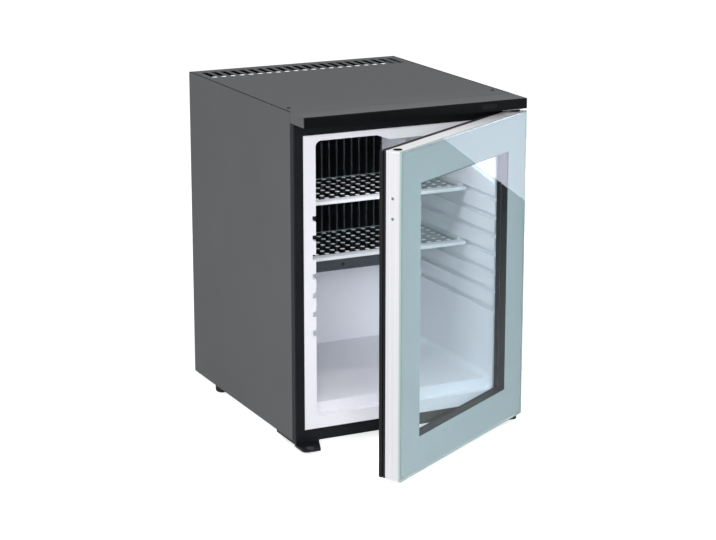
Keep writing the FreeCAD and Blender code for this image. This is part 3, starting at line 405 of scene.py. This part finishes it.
# Moulded nylon: dense and dark, with a low sheen. Moulded rubber: black and dull.
dress(moulded("Moulded nylon, dark grey", "#3C3D40", "#343538", roughness=0.45, grain_mm=1.5,
              depth_mm=0.04),
      "spare_pivot_cap")
dress(moulded("Moulded nylon, black", "#17171A", "#101012", roughness=0.4, grain_mm=1.5, depth_mm=0.04,
              shine=0.15),
      "mains_gland", "hinge_bushes")
dress(moulded("Moulded rubber, black", "#191919", "#121212", roughness=0.75, grain_mm=1.5, depth_mm=0.08),
      "front_feet", "rear_feet")

# Stoving enamel over steel tube: black and fairly glossy, with the sags of a dipped coat.
dress(moulded("Black stoving enamel", "#1E1E20", "#161618", roughness=0.32, grain_mm=5.0, depth_mm=0.06,
              cloud_mm=40.0),
      "absorber_tank", "condenser_tube", "condenser_fins", "evaporator_feed_tube", "absorber_coil",
      "heat_exchanger_tube", "unit_saddles")

# Zinc-plated rolled steel: bright grey, with the streaks of the rolls.
dress(metal("Zinc-plated rolled steel", "#B9BDC0", "#9EA3A6", roughness=0.36, streak_mm=2.0, along="X"),
      "boiler_jacket")

# Flame-proof ABS of the control box: charcoal, with a fine grain.
dress(moulded("Flame-proof ABS, charcoal", "#343538", "#2C2D30", roughness=0.48, grain_mm=1.8,
              depth_mm=0.05),
      "control_box")

# Door: anodised aluminium profiles, two panes with a printed border, black spacer and gasket

# Satin anodised aluminium: pale, with the die's fine lines along each profile, drawn 2 mm apart. Its two
# tones are painted light and shade: the level profiles are lighter, where the top rail falls in shade, and
# the upright ones darker, where the stiles face the lamps.
dress(metal("Satin anodised aluminium, upright profile", "#D6D6D9", "#BEBEC1", roughness=0.42,
            streak_mm=2.0, along="Z", metallic=0.55),
      "door_free_stile", "door_hinge_stile")
dress(metal("Satin anodised aluminium, level profile", "#E2E2E5", "#D0D0D3", roughness=0.42,
            streak_mm=2.0, along="X", turn=DOOR_AJAR, metallic=0.5),
      "door_top_rail", "door_bottom_rail")

# Matt nylon plugs: black, with next to no sheen at a low angle.
dress(moulded("Moulded nylon, matt black", "#0E0E10", "#09090A", roughness=0.7, grain_mm=1.5, depth_mm=0.04,
              shine=0.03),
      "spare_hinge_plugs")

# Moulded ABS of the corner caps: silver grey, close to the profiles.
dress(moulded("Moulded ABS, silver grey", "#E2E2E4", "#DADADD", roughness=0.42, grain_mm=2.0,
              depth_mm=0.03),
      "door_corner_caps")

# Float glass of the two panes: almost colourless, with a trace of blue green.
dress(pane("Float glass, pale blue green", "#F8FEFF", DOOR_FACES), "door_front_glass")
dress(pane("Float glass, low-emissivity", "#F8FEFF", DOOR_FACES), "door_inner_glass")

# Black seals between and behind the panes: the anodised spacer is smooth, the PVC gasket softer and duller.
dress(moulded("Anodised spacer bar, black", "#1A1B1D", "#131416", roughness=0.4, grain_mm=3.0,
              depth_mm=0.02, shine=0.15),
      "glass_spacer")
dress(moulded("Extruded PVC gasket, black", "#1C1C1D", "#171718", roughness=0.62, grain_mm=3.0,
              depth_mm=0.04, shine=0.15),
      "door_gasket")


# Rings of the door: a printed border round the clear window, and a bead on the lip of the frame

def ring_mesh(name, outer, inner, near, far):
    """A flat ring between two rectangles, each given by half its width and its low and high edge, in the
    closed door's plane, from a near depth to a far one. It is turned with the door."""
    form = bmesh.new()
    loops = []
    for half, low, high in (outer, inner):
        corners = ((-half, low), (half, low), (half, high), (-half, high))
        for depth in (near, far):
            loops.append([form.verts.new((x, depth, z)) for x, z in corners])
    outer_near, outer_far, inner_near, inner_far = loops
    for k in range(4):
        n = (k + 1) % 4
        form.faces.new((outer_near[k], outer_near[n], inner_near[n], inner_near[k]))
        form.faces.new((outer_far[n], outer_far[k], inner_far[k], inner_far[n]))
        form.faces.new((outer_near[n], outer_near[k], outer_far[k], outer_far[n]))
        form.faces.new((inner_near[k], inner_near[n], inner_far[n], inner_far[k]))
    bmesh.ops.recalc_face_normals(form, faces=form.faces)
    bmesh.ops.transform(form, matrix=DOOR_TURN, verts=form.verts)
    return settled(name, form)


# The print stops short of the front pane's rim. It is drawn a little inside the pane, over its back.
PRINT_MARGIN, PRINT_COVER, PRINT_THICK = 3.0 * MM, 1.1 * MM, 0.3 * MM
WINDOW_HALF, WINDOW_LOW, WINDOW_HIGH = 141.0 * MM, 73.0 * MM, 481.0 * MM
pane_low, pane_high = closed_box("door_front_glass")
print_far = pane_high.y - PRINT_COVER

# Baked glass enamel: even, blue green and softly glossy, with the faint cloud of a screen print.
enamel = moulded("Baked glass enamel, blue green", "#92A1A6", "#8B9BA0", roughness=0.5, grain_mm=8.0,
                 depth_mm=0.01, cloud_mm=150.0)
border = ring_mesh("printed_border",
                   (pane_high.x - PRINT_MARGIN, pane_low.z + PRINT_MARGIN, pane_high.z - PRINT_MARGIN),
                   (WINDOW_HALF, WINDOW_LOW, WINDOW_HIGH), print_far - PRINT_THICK, print_far)
as_piece("printed_border", border, "door", enamel)

# The bead covers the inner lip of the frame, from the inner pane to the frame's back.
BEAD, BEAD_GAP = 1.0 * MM, 0.1 * MM
stile_low, stile_high = closed_box("door_hinge_stile")
lip_half = stile_low.x
lip_low, lip_high = closed_box("door_bottom_rail")[1].z, closed_box("door_top_rail")[0].z
bead_near, bead_far = closed_box("door_inner_glass")[1].y + BEAD_GAP, stile_high.y - BEAD_GAP

# Black and dull: it stands for the dark edge of a rubber seal, and darkens the frame's lip as painted
# shade.
bead_seal_and_painted_shade = moulded("Black bead, seal and painted shade", "#1C1E20", "#151718", roughness=0.55, grain_mm=3.0,
                      depth_mm=0.03, shine=0.15)
bead = ring_mesh("glazing_bead", (lip_half, lip_low, lip_high),
                 (lip_half - BEAD, lip_low + BEAD, lip_high - BEAD), bead_near, bead_far)
as_piece("glazing_bead", bead, "door", bead_seal_and_painted_shade)

# Vents: the top panel with its slots cut longer and wider than the CAD's, and its rear lip trimmed, as the
# photograph has them. Light shows through the slots' front ends, under the lip.
VENTS, VENT_CORNER_STEPS = 22, 4
VENT_PITCH, VENT_LENGTH, VENT_WIDTH, VENT_CORNER = 17.2 * MM, 57.0 * MM, 11.0 * MM, 4.5 * MM
VENT_MARGIN, REAR_LIP_TRIM, REAR_LIP_REACH = 18.0 * MM, 5.8 * MM, 3.0 * MM


def slot_mesh():
    """The tool of one slot with rounded corners, on the middle line of the top panel."""
    form = bmesh.new()
    reach = VENT_WIDTH / 2 - VENT_CORNER
    behind = panel_high.y - VENT_MARGIN - VENT_CORNER
    ahead = panel_high.y - VENT_MARGIN - VENT_LENGTH + VENT_CORNER
    outline = []
    for turn, (x, y) in enumerate(((reach, behind), (-reach, behind), (-reach, ahead), (reach, ahead))):
        for step in range(VENT_CORNER_STEPS + 1):
            angle = (turn + step / VENT_CORNER_STEPS) * math.pi / 2
            outline.append((x + VENT_CORNER * math.cos(angle), y + VENT_CORNER * math.sin(angle)))
    under = [form.verts.new((x, y, panel_high.z - OVERRUN)) for x, y in outline]
    over = [form.verts.new((x, y, panel_high.z + OVERRUN)) for x, y in outline]
    form.faces.new(under[::-1])
    form.faces.new(over)
    for k in range(len(outline)):
        n = (k + 1) % len(outline)
        form.faces.new((under[k], under[n], over[n], over[k]))
    return settled("slot", form)


def vent_tree():
    """A geometry tree that cuts a row of slots in a panel."""
    tree, given = geometry_tree("Vent slots", {"Panel": "Geometry", "Slot": "Object", "Slots": "Int",
                                               "First": "Vector", "Step": "Vector", "Paint": "Material"})
    row = add(tree, "GeometryNodeMeshLine", {"Count": given["Slots"], "Start Location": given["First"],
                                             "Offset": given["Step"]})
    tool = add(tree, "GeometryNodeObjectInfo", {"Object": given["Slot"]})
    tools = add(tree, "GeometryNodeInstanceOnPoints", {"Points": row.outputs["Mesh"],
                                                       "Instance": tool.outputs["Geometry"]})
    cut = add(tree, "GeometryNodeMeshBoolean", {"Mesh 1": given["Panel"], "Mesh 2": tools.outputs[0],
                                                "Self Intersection": True},
              operation="DIFFERENCE", solver="EXACT")
    end_tree(tree, cut.outputs["Mesh"], given["Paint"])
    return tree


top = bmesh.new()
top.from_mesh(frame["nodes"]["top_panel"].data)
bmesh.ops.remove_doubles(top, verts=top.verts, dist=MERGE)
trim_low = (panel_low.x - OVERRUN, panel_high.y - REAR_LIP_REACH, panel_low.z - OVERRUN)
trim_high = (panel_high.x + OVERRUN, panel_high.y + OVERRUN, panel_low.z + REAR_LIP_TRIM)
trimmed = carved(settled("trimmed_top", top), bars_mesh("rear_lip", [(trim_low, trim_high)]))
slot_tool = put("slot", slot_mesh())
vented = grown("vented_top", trimmed, vent_tree(),
               {"Slot": slot_tool, "Slots": VENTS, "First": ((1 - VENTS) / 2 * VENT_PITCH, 0.0, 0.0),
                "Step": (VENT_PITCH, 0.0, 0.0), "Paint": paint_with_painted_shade})
bpy.data.objects.remove(slot_tool)
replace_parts(as_piece("vented_top", vented, "cabinet", paint_with_painted_shade), "top_panel")

# Panel seams: a black strip where the top panel meets each side, painted shadow of the gap between them
SEAM_INSET, SEAM_WIDTH, SEAM_RISE, SEAM_END = 0.2 * MM, 2.4 * MM, 0.2 * MM, 0.5 * MM
seam_front, seam_rear = panel_low.y + SEAM_END, panel_high.y - SEAM_END
seam_spans = []
for left in (panel_low.x + SEAM_INSET, panel_high.x - SEAM_INSET - SEAM_WIDTH):
    right = left + SEAM_WIDTH
    seam_spans.append(((left, seam_front, panel_high.z), (right, seam_rear, panel_high.z + SEAM_RISE)))

# Black and quite matt: painted shadow in the seam.
seam_painted_shadow = moulded("Painted seam shadow, black", "#0C0D0E", "#08090A", roughness=0.7, grain_mm=2.0, depth_mm=0.03,
                  shine=0.03)
as_piece("panel_seams", bars_mesh("panel_seams", seam_spans), "cabinet", seam_painted_shadow)

# Printed dots: rows of enamel on the shelf glass
DOT_COLUMNS, DOT_ROWS, DOT_SIDES = 16, 8, 14
DOT_PITCH, DOT_RADIUS, DOT_RISE = 19.0 * MM, 4.0 * MM, 0.16 * MM


def dot_tree():
    """A geometry tree that prints rows of dots on a plate."""
    tree, given = geometry_tree("Printed dots", {"Columns": "Int", "Rows": "Int", "Pitch": "Float",
                                                 "Sides": "Int", "Radius": "Float", "Rise": "Float",
                                                 "Middle": "Vector", "Ink": "Material"})
    spans = []
    for name in ("Columns", "Rows"):
        gaps = add(tree, "ShaderNodeMath", {0: given[name], 1: 1.0}, operation="SUBTRACT")
        span = add(tree, "ShaderNodeMath", {0: gaps.outputs[0], 1: given["Pitch"]}, operation="MULTIPLY")
        spans.append(span.outputs[0])
    grid = add(tree, "GeometryNodeMeshGrid", {"Size X": spans[0], "Size Y": spans[1],
                                              "Vertices X": given["Columns"], "Vertices Y": given["Rows"]})
    placed = add(tree, "GeometryNodeSetPosition", {"Geometry": grid.outputs["Mesh"],
                                                   "Offset": given["Middle"]})
    dot = add(tree, "GeometryNodeMeshCylinder", {"Vertices": given["Sides"], "Radius": given["Radius"],
                                                 "Depth": given["Rise"]})
    dots = add(tree, "GeometryNodeInstanceOnPoints", {"Points": placed.outputs[0],
                                                      "Instance": dot.outputs["Mesh"]})
    end_tree(tree, dots.outputs[0], given["Ink"])
    return tree


# Screen-printed enamel: chalky white with a soft sheen.
ink = moulded("Screen-printed enamel, white", "#F0F1F2", "#E6E8EA", roughness=0.5, grain_mm=1.5,
              depth_mm=0.01, cloud_mm=8.0)
dots = dot_tree()
for shelf in ("upper_shelf", "lower_shelf"):
    plate_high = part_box(shelf + "_glass")[1]
    trim_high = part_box(shelf + "_trim")[1]
    middle = (0.0, (trim_high.y + plate_high.y) / 2, plate_high.z + DOT_RISE / 2)
    printed = grown(shelf + "_dots", bpy.data.meshes.new(shelf), dots,
                    {"Columns": DOT_COLUMNS, "Rows": DOT_ROWS, "Pitch": DOT_PITCH, "Sides": DOT_SIDES,
                     "Radius": DOT_RADIUS, "Rise": DOT_RISE, "Middle": middle, "Ink": ink})
    as_piece(shelf + "_dots", printed, shelf, ink)

# Screws: cross-recessed pan heads, in shares of a head's radius and rise
HEAD_STEPS = 24
DOME_SHARES = ((1.0, 0.0), (1.0, 0.35), (0.93, 0.6), (0.75, 0.85), (0.5, 0.96), (0.0, 1.0))
CROSS_LONG_SHARE, CROSS_WIDE_SHARE, CROSS_TALL_SHARE, CROSS_MIDDLE_SHARE = 1.15, 0.26, 1.2, 1.05


def head_mesh(radius, rise):
    """A domed screw head with a cross recess, standing on its seat and facing up."""
    form = bmesh.new()
    profile = [form.verts.new((out * radius, 0, up * rise)) for out, up in DOME_SHARES]
    line = [form.edges.new(pair) for pair in zip(profile, profile[1:])]
    bmesh.ops.spin(form, geom=profile + line, cent=(0, 0, 0), axis=UP, angle=math.tau, steps=HEAD_STEPS)
    bmesh.ops.remove_doubles(form, verts=form.verts, dist=MERGE)
    bmesh.ops.holes_fill(form, edges=form.edges)
    bmesh.ops.recalc_face_normals(form, faces=form.faces)
    cross = bmesh.new()
    size = Matrix.Diagonal((radius * CROSS_LONG_SHARE, radius * CROSS_WIDE_SHARE,
                            rise * CROSS_TALL_SHARE, 1))
    lift = Matrix.Translation((0, 0, rise * CROSS_MIDDLE_SHARE))
    for turn in (0, math.pi / 2):
        bar = bmesh.ops.create_cube(cross, size=1.0)["verts"]
        bmesh.ops.transform(cross, matrix=lift @ Matrix.Rotation(turn, 4, "Z") @ size, verts=bar)
    return carved(settled("pan_head", form), settled("cross", cross))


def screw_tree():
    """A geometry tree that stands a screw head on each point, facing the point's aim."""
    tree, given = geometry_tree("Screw heads", {"Seats": "Geometry", "Head": "Object",
                                                "Plating": "Material"})
    head = add(tree, "GeometryNodeObjectInfo", {"Object": given["Head"]})
    aim = add(tree, "GeometryNodeInputNamedAttribute", {"Name": "aim"}, data_type="FLOAT_VECTOR")
    faced = add(tree, "FunctionNodeAlignRotationToVector", {"Vector": aim.outputs["Attribute"]}, axis="Z")
    stood = add(tree, "GeometryNodeInstanceOnPoints", {"Points": given["Seats"],
                                                       "Instance": head.outputs["Geometry"],
                                                       "Rotation": faced.outputs[0]})
    end_tree(tree, stood.outputs[0], given["Plating"])
    return tree


screws = screw_tree()


def stand_screws(name, seats, radius, rise, plating, body, slot, *nodes):
    """Screw heads at seats, each a place and the way it faces, in place of CAD nodes."""
    base = bpy.data.meshes.new(name)
    base.from_pydata([at for at, _ in seats], [], [])
    aims = base.attributes.new("aim", "FLOAT_VECTOR", "POINT")
    for k, (_, way) in enumerate(seats):
        aims.data[k].vector = way
    head = put("head", head_mesh(radius, rise))
    mesh = grown(name, base, screws, {"Head": head, "Plating": plating})
    bpy.data.objects.remove(head)
    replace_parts(as_piece(name, mesh, body, plating), *nodes)


# Zinc plating on turned screws, with the tool's fine lines: passivated to a soft black, or left bright.
black_zinc = metal("Black passivated zinc on steel", "#2A2A2C", "#1A1A1C", roughness=0.35, streak_mm=0.6,
                   along="Z", metallic=0.8)
bright_zinc = metal("Bright zinc on steel", "#85888B", "#65686B", roughness=0.3, streak_mm=0.6, along="Z")

# Cabinet screws: two on the top panel and two under the base
CABINET_HEAD_RADIUS, CABINET_HEAD_RISE = 3.6 * MM, 1.6 * MM
TOP_SCREW_X, TOP_SCREW_Y = 187.0 * MM, -180.0 * MM
BASE_SCREW_X, BASE_SCREW_Y, BASE_SCREW_Z = 180.0 * MM, -158.4 * MM, 9.0 * MM
cabinet_seats = [((TOP_SCREW_X, TOP_SCREW_Y, panel_high.z), UP),
                 ((-TOP_SCREW_X, TOP_SCREW_Y, panel_high.z), UP),
                 ((-BASE_SCREW_X, BASE_SCREW_Y, BASE_SCREW_Z), DOWN),
                 ((BASE_SCREW_X, BASE_SCREW_Y, BASE_SCREW_Z), DOWN)]
stand_screws("cabinet_screw_heads", cabinet_seats, CABINET_HEAD_RADIUS, CABINET_HEAD_RISE, black_zinc,
             "cabinet", "black_screw", "cabinet_screws")

# Trough screw: one head on the front of the drip trough
TROUGH_HEAD_RADIUS, TROUGH_HEAD_RISE = 3.0 * MM, 1.5 * MM
TROUGH_SCREW = (18.0 * MM, 48.0 * MM, 227.0 * MM)
stand_screws("trough_screw_head", [(TROUGH_SCREW, FORWARD)], TROUGH_HEAD_RADIUS, TROUGH_HEAD_RISE,
             black_zinc, "cabinet", "black_screw", "drip_trough_screw")

# Edge screws: two in the door's free edge, in line with its hinge
EDGE_HEAD_RADIUS, EDGE_HEAD_RISE = 2.4 * MM, 0.8 * MM
EDGE_SCREW_HEIGHTS = (466.0 * MM, 434.5 * MM)
free_edge = closed_box("door_free_stile")[0].x
edge_seats = [(DOOR_TURN @ Vector((free_edge, HINGE.y, z)), FREE_EDGE_FACES) for z in EDGE_SCREW_HEIGHTS]
stand_screws("edge_screw_heads", edge_seats, EDGE_HEAD_RADIUS, EDGE_HEAD_RISE, bright_zinc, "door",
             "bright_screw", "door_edge_screws")


# Stage: white surround, pale floor, soft lamps and the camera

def surround(tree, seen, lit):
    """A strength that is one value where the surround is looked at, mirrored or seen through glass, and
    another where it only lights things."""
    ray = add(tree, "ShaderNodeLightPath").outputs
    looked = add(tree, "ShaderNodeMath", {0: ray["Is Camera Ray"], 1: ray["Is Glossy Ray"]},
                 operation="MAXIMUM")
    through = add(tree, "ShaderNodeMath", {0: looked.outputs[0], 1: ray["Is Transmission Ray"]},
                  operation="MAXIMUM")
    strength = add(tree, "ShaderNodeMapRange", {"Value": through.outputs[0], "To Min": lit, "To Max": seen})
    return strength.outputs[0]


def stage_sheet(name, corners, stuff):
    """A flat four-cornered sheet on the stage."""
    mesh = bpy.data.meshes.new(name)
    mesh.from_pydata(corners, [], [(0, 1, 2, 3)])
    mesh.materials.append(stuff)
    laid = put(name, mesh)
    return laid


world = bpy.data.worlds.new("Studio")
world.use_nodes = True
bpy.context.scene.world = world
sky = world.node_tree.nodes["Background"]
sky.inputs["Color"].default_value = linear("#FFFFFF")
link(world.node_tree, sky, Strength=surround(world.node_tree, seen=1.0, lit=0.38))

# Matt floor paint: near white, with a glow that is only seen and lights nothing.
FLOOR_REACH = 40.0
floor_paint, tree, shader, at = start("Matt white studio floor", {"Roughness": 0.9,
                                                                  "Emission Color": linear("#FFFFFF")})
mottle = add(tree, "ShaderNodeTexNoise", {"Vector": at, "Scale": per(300.0)})
pale = add(tree, "ShaderNodeMix", {0: mottle.outputs["Fac"], 6: linear("#F2F2F2"), 7: linear("#EEEEEE")},
           data_type="RGBA")
link(tree, shader, Base_Color=pale.outputs[2], Emission_Strength=surround(tree, seen=0.68, lit=0.0))
floor_corners = [(x * FLOOR_REACH, y * FLOOR_REACH, 0) for x, y in ((-1, -1), (1, -1), (1, 1), (-1, 1))]
stage_sheet("floor", floor_corners, floor_paint)


def lamp(name, at, aim, across, tall, watts):
    """A soft box that hangs at a place and faces another."""
    light = bpy.data.lights.new(name, "AREA")
    light.shape = "RECTANGLE"
    light.size, light.size_y, light.energy = across, tall, watts
    box = put(name, light)
    box.location = at
    box.rotation_euler = (Vector(aim) - Vector(at)).to_track_quat("-Z", "Y").to_euler()
    box.visible_camera = False
    return light


lamp("front_box", at=(-1.45, -3.1, 1.45), aim=(0.0, -0.2, 0.3), across=1.8, tall=1.6, watts=75.0)
lamp("right_box", at=(1.6, -2.2, 1.2), aim=(0.1, -0.2, 0.3), across=1.2, tall=1.6, watts=3.0)
lamp("left_box", at=(-1.9, -0.9, 0.6), aim=(-0.2, -0.1, 0.3), across=1.0, tall=1.0, watts=4.5)

# A narrow box straight over the open door, which lights its upper edge and misses the cabinet's top
edge_light = lamp("edge_box", at=(0.02, -0.42, 1.35), aim=(0.02, -0.42, 0.54), across=0.4, tall=0.1,
                  watts=0.22)
edge_light.spread = math.radians(36)

# The fridge's own lamp, lit: it shines down from under its lens, and is wider to soften the shadows
LENS_GAP = 1.0 * MM
lens_low, lens_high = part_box("lamp_lens")
under = (lens_low + lens_high) / 2
under.z = lens_low.z - LENS_GAP
lamp("own_lamp", at=under, aim=under + DOWN, across=0.2, tall=0.05, watts=0.3)

# Two sheets on the floor to the right, seen only in mirrors: a black cloth, and beyond its slanted edge a
# glowing card. The door's glass mirrors that edge across its upper corner.
SHEET_LIFT, FULL_COVER_X = 1.0 * MM, 1.9


def mirrored(name, colour, glow, near_share, corners):
    """A sheet just over the floor that is clear, except where something mirrors it. It covers a share of
    the floor beside the object, and more and more of it towards the right."""
    paint, tree, shader, at = start(name, {"Roughness": 0.9, "Specular IOR Level": 0.0,
                                           "Emission Strength": glow})
    weave = add(tree, "ShaderNodeTexNoise", {"Vector": at, "Scale": per(40.0)})
    tone = add(tree, "ShaderNodeMapRange", {"Value": weave.outputs["Fac"], "To Min": 0.9, "To Max": 1.0})
    shade = add(tree, "ShaderNodeMix", {0: tone.outputs[0], 6: linear("#000000"), 7: linear(colour)},
                data_type="RGBA")
    link(tree, shader, Base_Color=shade.outputs[2], Emission_Color=shade.outputs[2])
    place = add(tree, "ShaderNodeSeparateXYZ", {"Vector": at})
    share = add(tree, "ShaderNodeMapRange", {"Value": place.outputs["X"], "From Max": FULL_COVER_X,
                                             "To Min": near_share})
    ray = add(tree, "ShaderNodeLightPath")
    seen = add(tree, "ShaderNodeMath", {0: ray.outputs["Glossy Depth"], 1: 1.0}, operation="MINIMUM")
    cover = add(tree, "ShaderNodeMath", {0: seen.outputs[0], 1: share.outputs[0]}, operation="MULTIPLY")
    clear = add(tree, "ShaderNodeBsdfTransparent")
    both = add(tree, "ShaderNodeMixShader", {0: cover.outputs[0], 1: clear.outputs[0],
                                             2: shader.outputs[0]})
    tree.links.new(both.outputs[0], tree.nodes["Material Output"].inputs["Surface"])
    laid = stage_sheet(name, [(x, y, SHEET_LIFT) for x, y in corners], paint)
    laid.visible_camera = laid.visible_diffuse = laid.visible_shadow = False


SHEET_RIGHT, SLANT_END, CARD_REAR = 3.6, -0.502, 0.5
CLOTH_LEFT, CLOTH_FRONT, CLOTH_REAR = -0.1, -0.52, 0.309
CARD_LEFT, CARD_FRONT = 1.2, 0.024
mirrored("Black studio cloth", "#0A0B0C", glow=0.0, near_share=0.55,
         corners=[(CLOTH_LEFT, CLOTH_FRONT), (SHEET_RIGHT, CLOTH_FRONT), (SHEET_RIGHT, SLANT_END),
                  (CLOTH_LEFT, CLOTH_REAR)])
mirrored("Glowing card", "#ECECFE", glow=4.8, near_share=1.0,
         corners=[(CARD_LEFT, CARD_FRONT), (SHEET_RIGHT, SLANT_END), (SHEET_RIGHT, CARD_REAR),
                  (CARD_LEFT, CARD_REAR)])

# A box behind on the right
lamp("far_box", at=(1.9, 1.2, 0.45), aim=(0.2, 0.1, 0.3), across=1.2, tall=0.8, watts=20.0)

# The camera that was fitted to the photograph: where it stands and how it turns, and its focal length in
# pixels of a picture this wide
CAMERA_AT = (-1.567, -3.2597, 1.186)
AZIMUTH, ELEVATION = math.radians(-26.0193), math.radians(14.8129)
FOCAL_PIXELS, PICTURE_PIXELS, SENSOR_MM = 2139.2, 716, 36.0
camera = put("camera", bpy.data.cameras.new("camera"))
camera.location = CAMERA_AT
camera.rotation_euler = (math.pi / 2 - ELEVATION, 0.0, AZIMUTH)
camera.data.sensor_fit = "HORIZONTAL"
camera.data.sensor_width = SENSOR_MM
camera.data.lens = SENSOR_MM * FOCAL_PIXELS / PICTURE_PIXELS
bpy.context.scene.camera = camera
bpy.context.scene.view_settings.view_transform = "Standard"
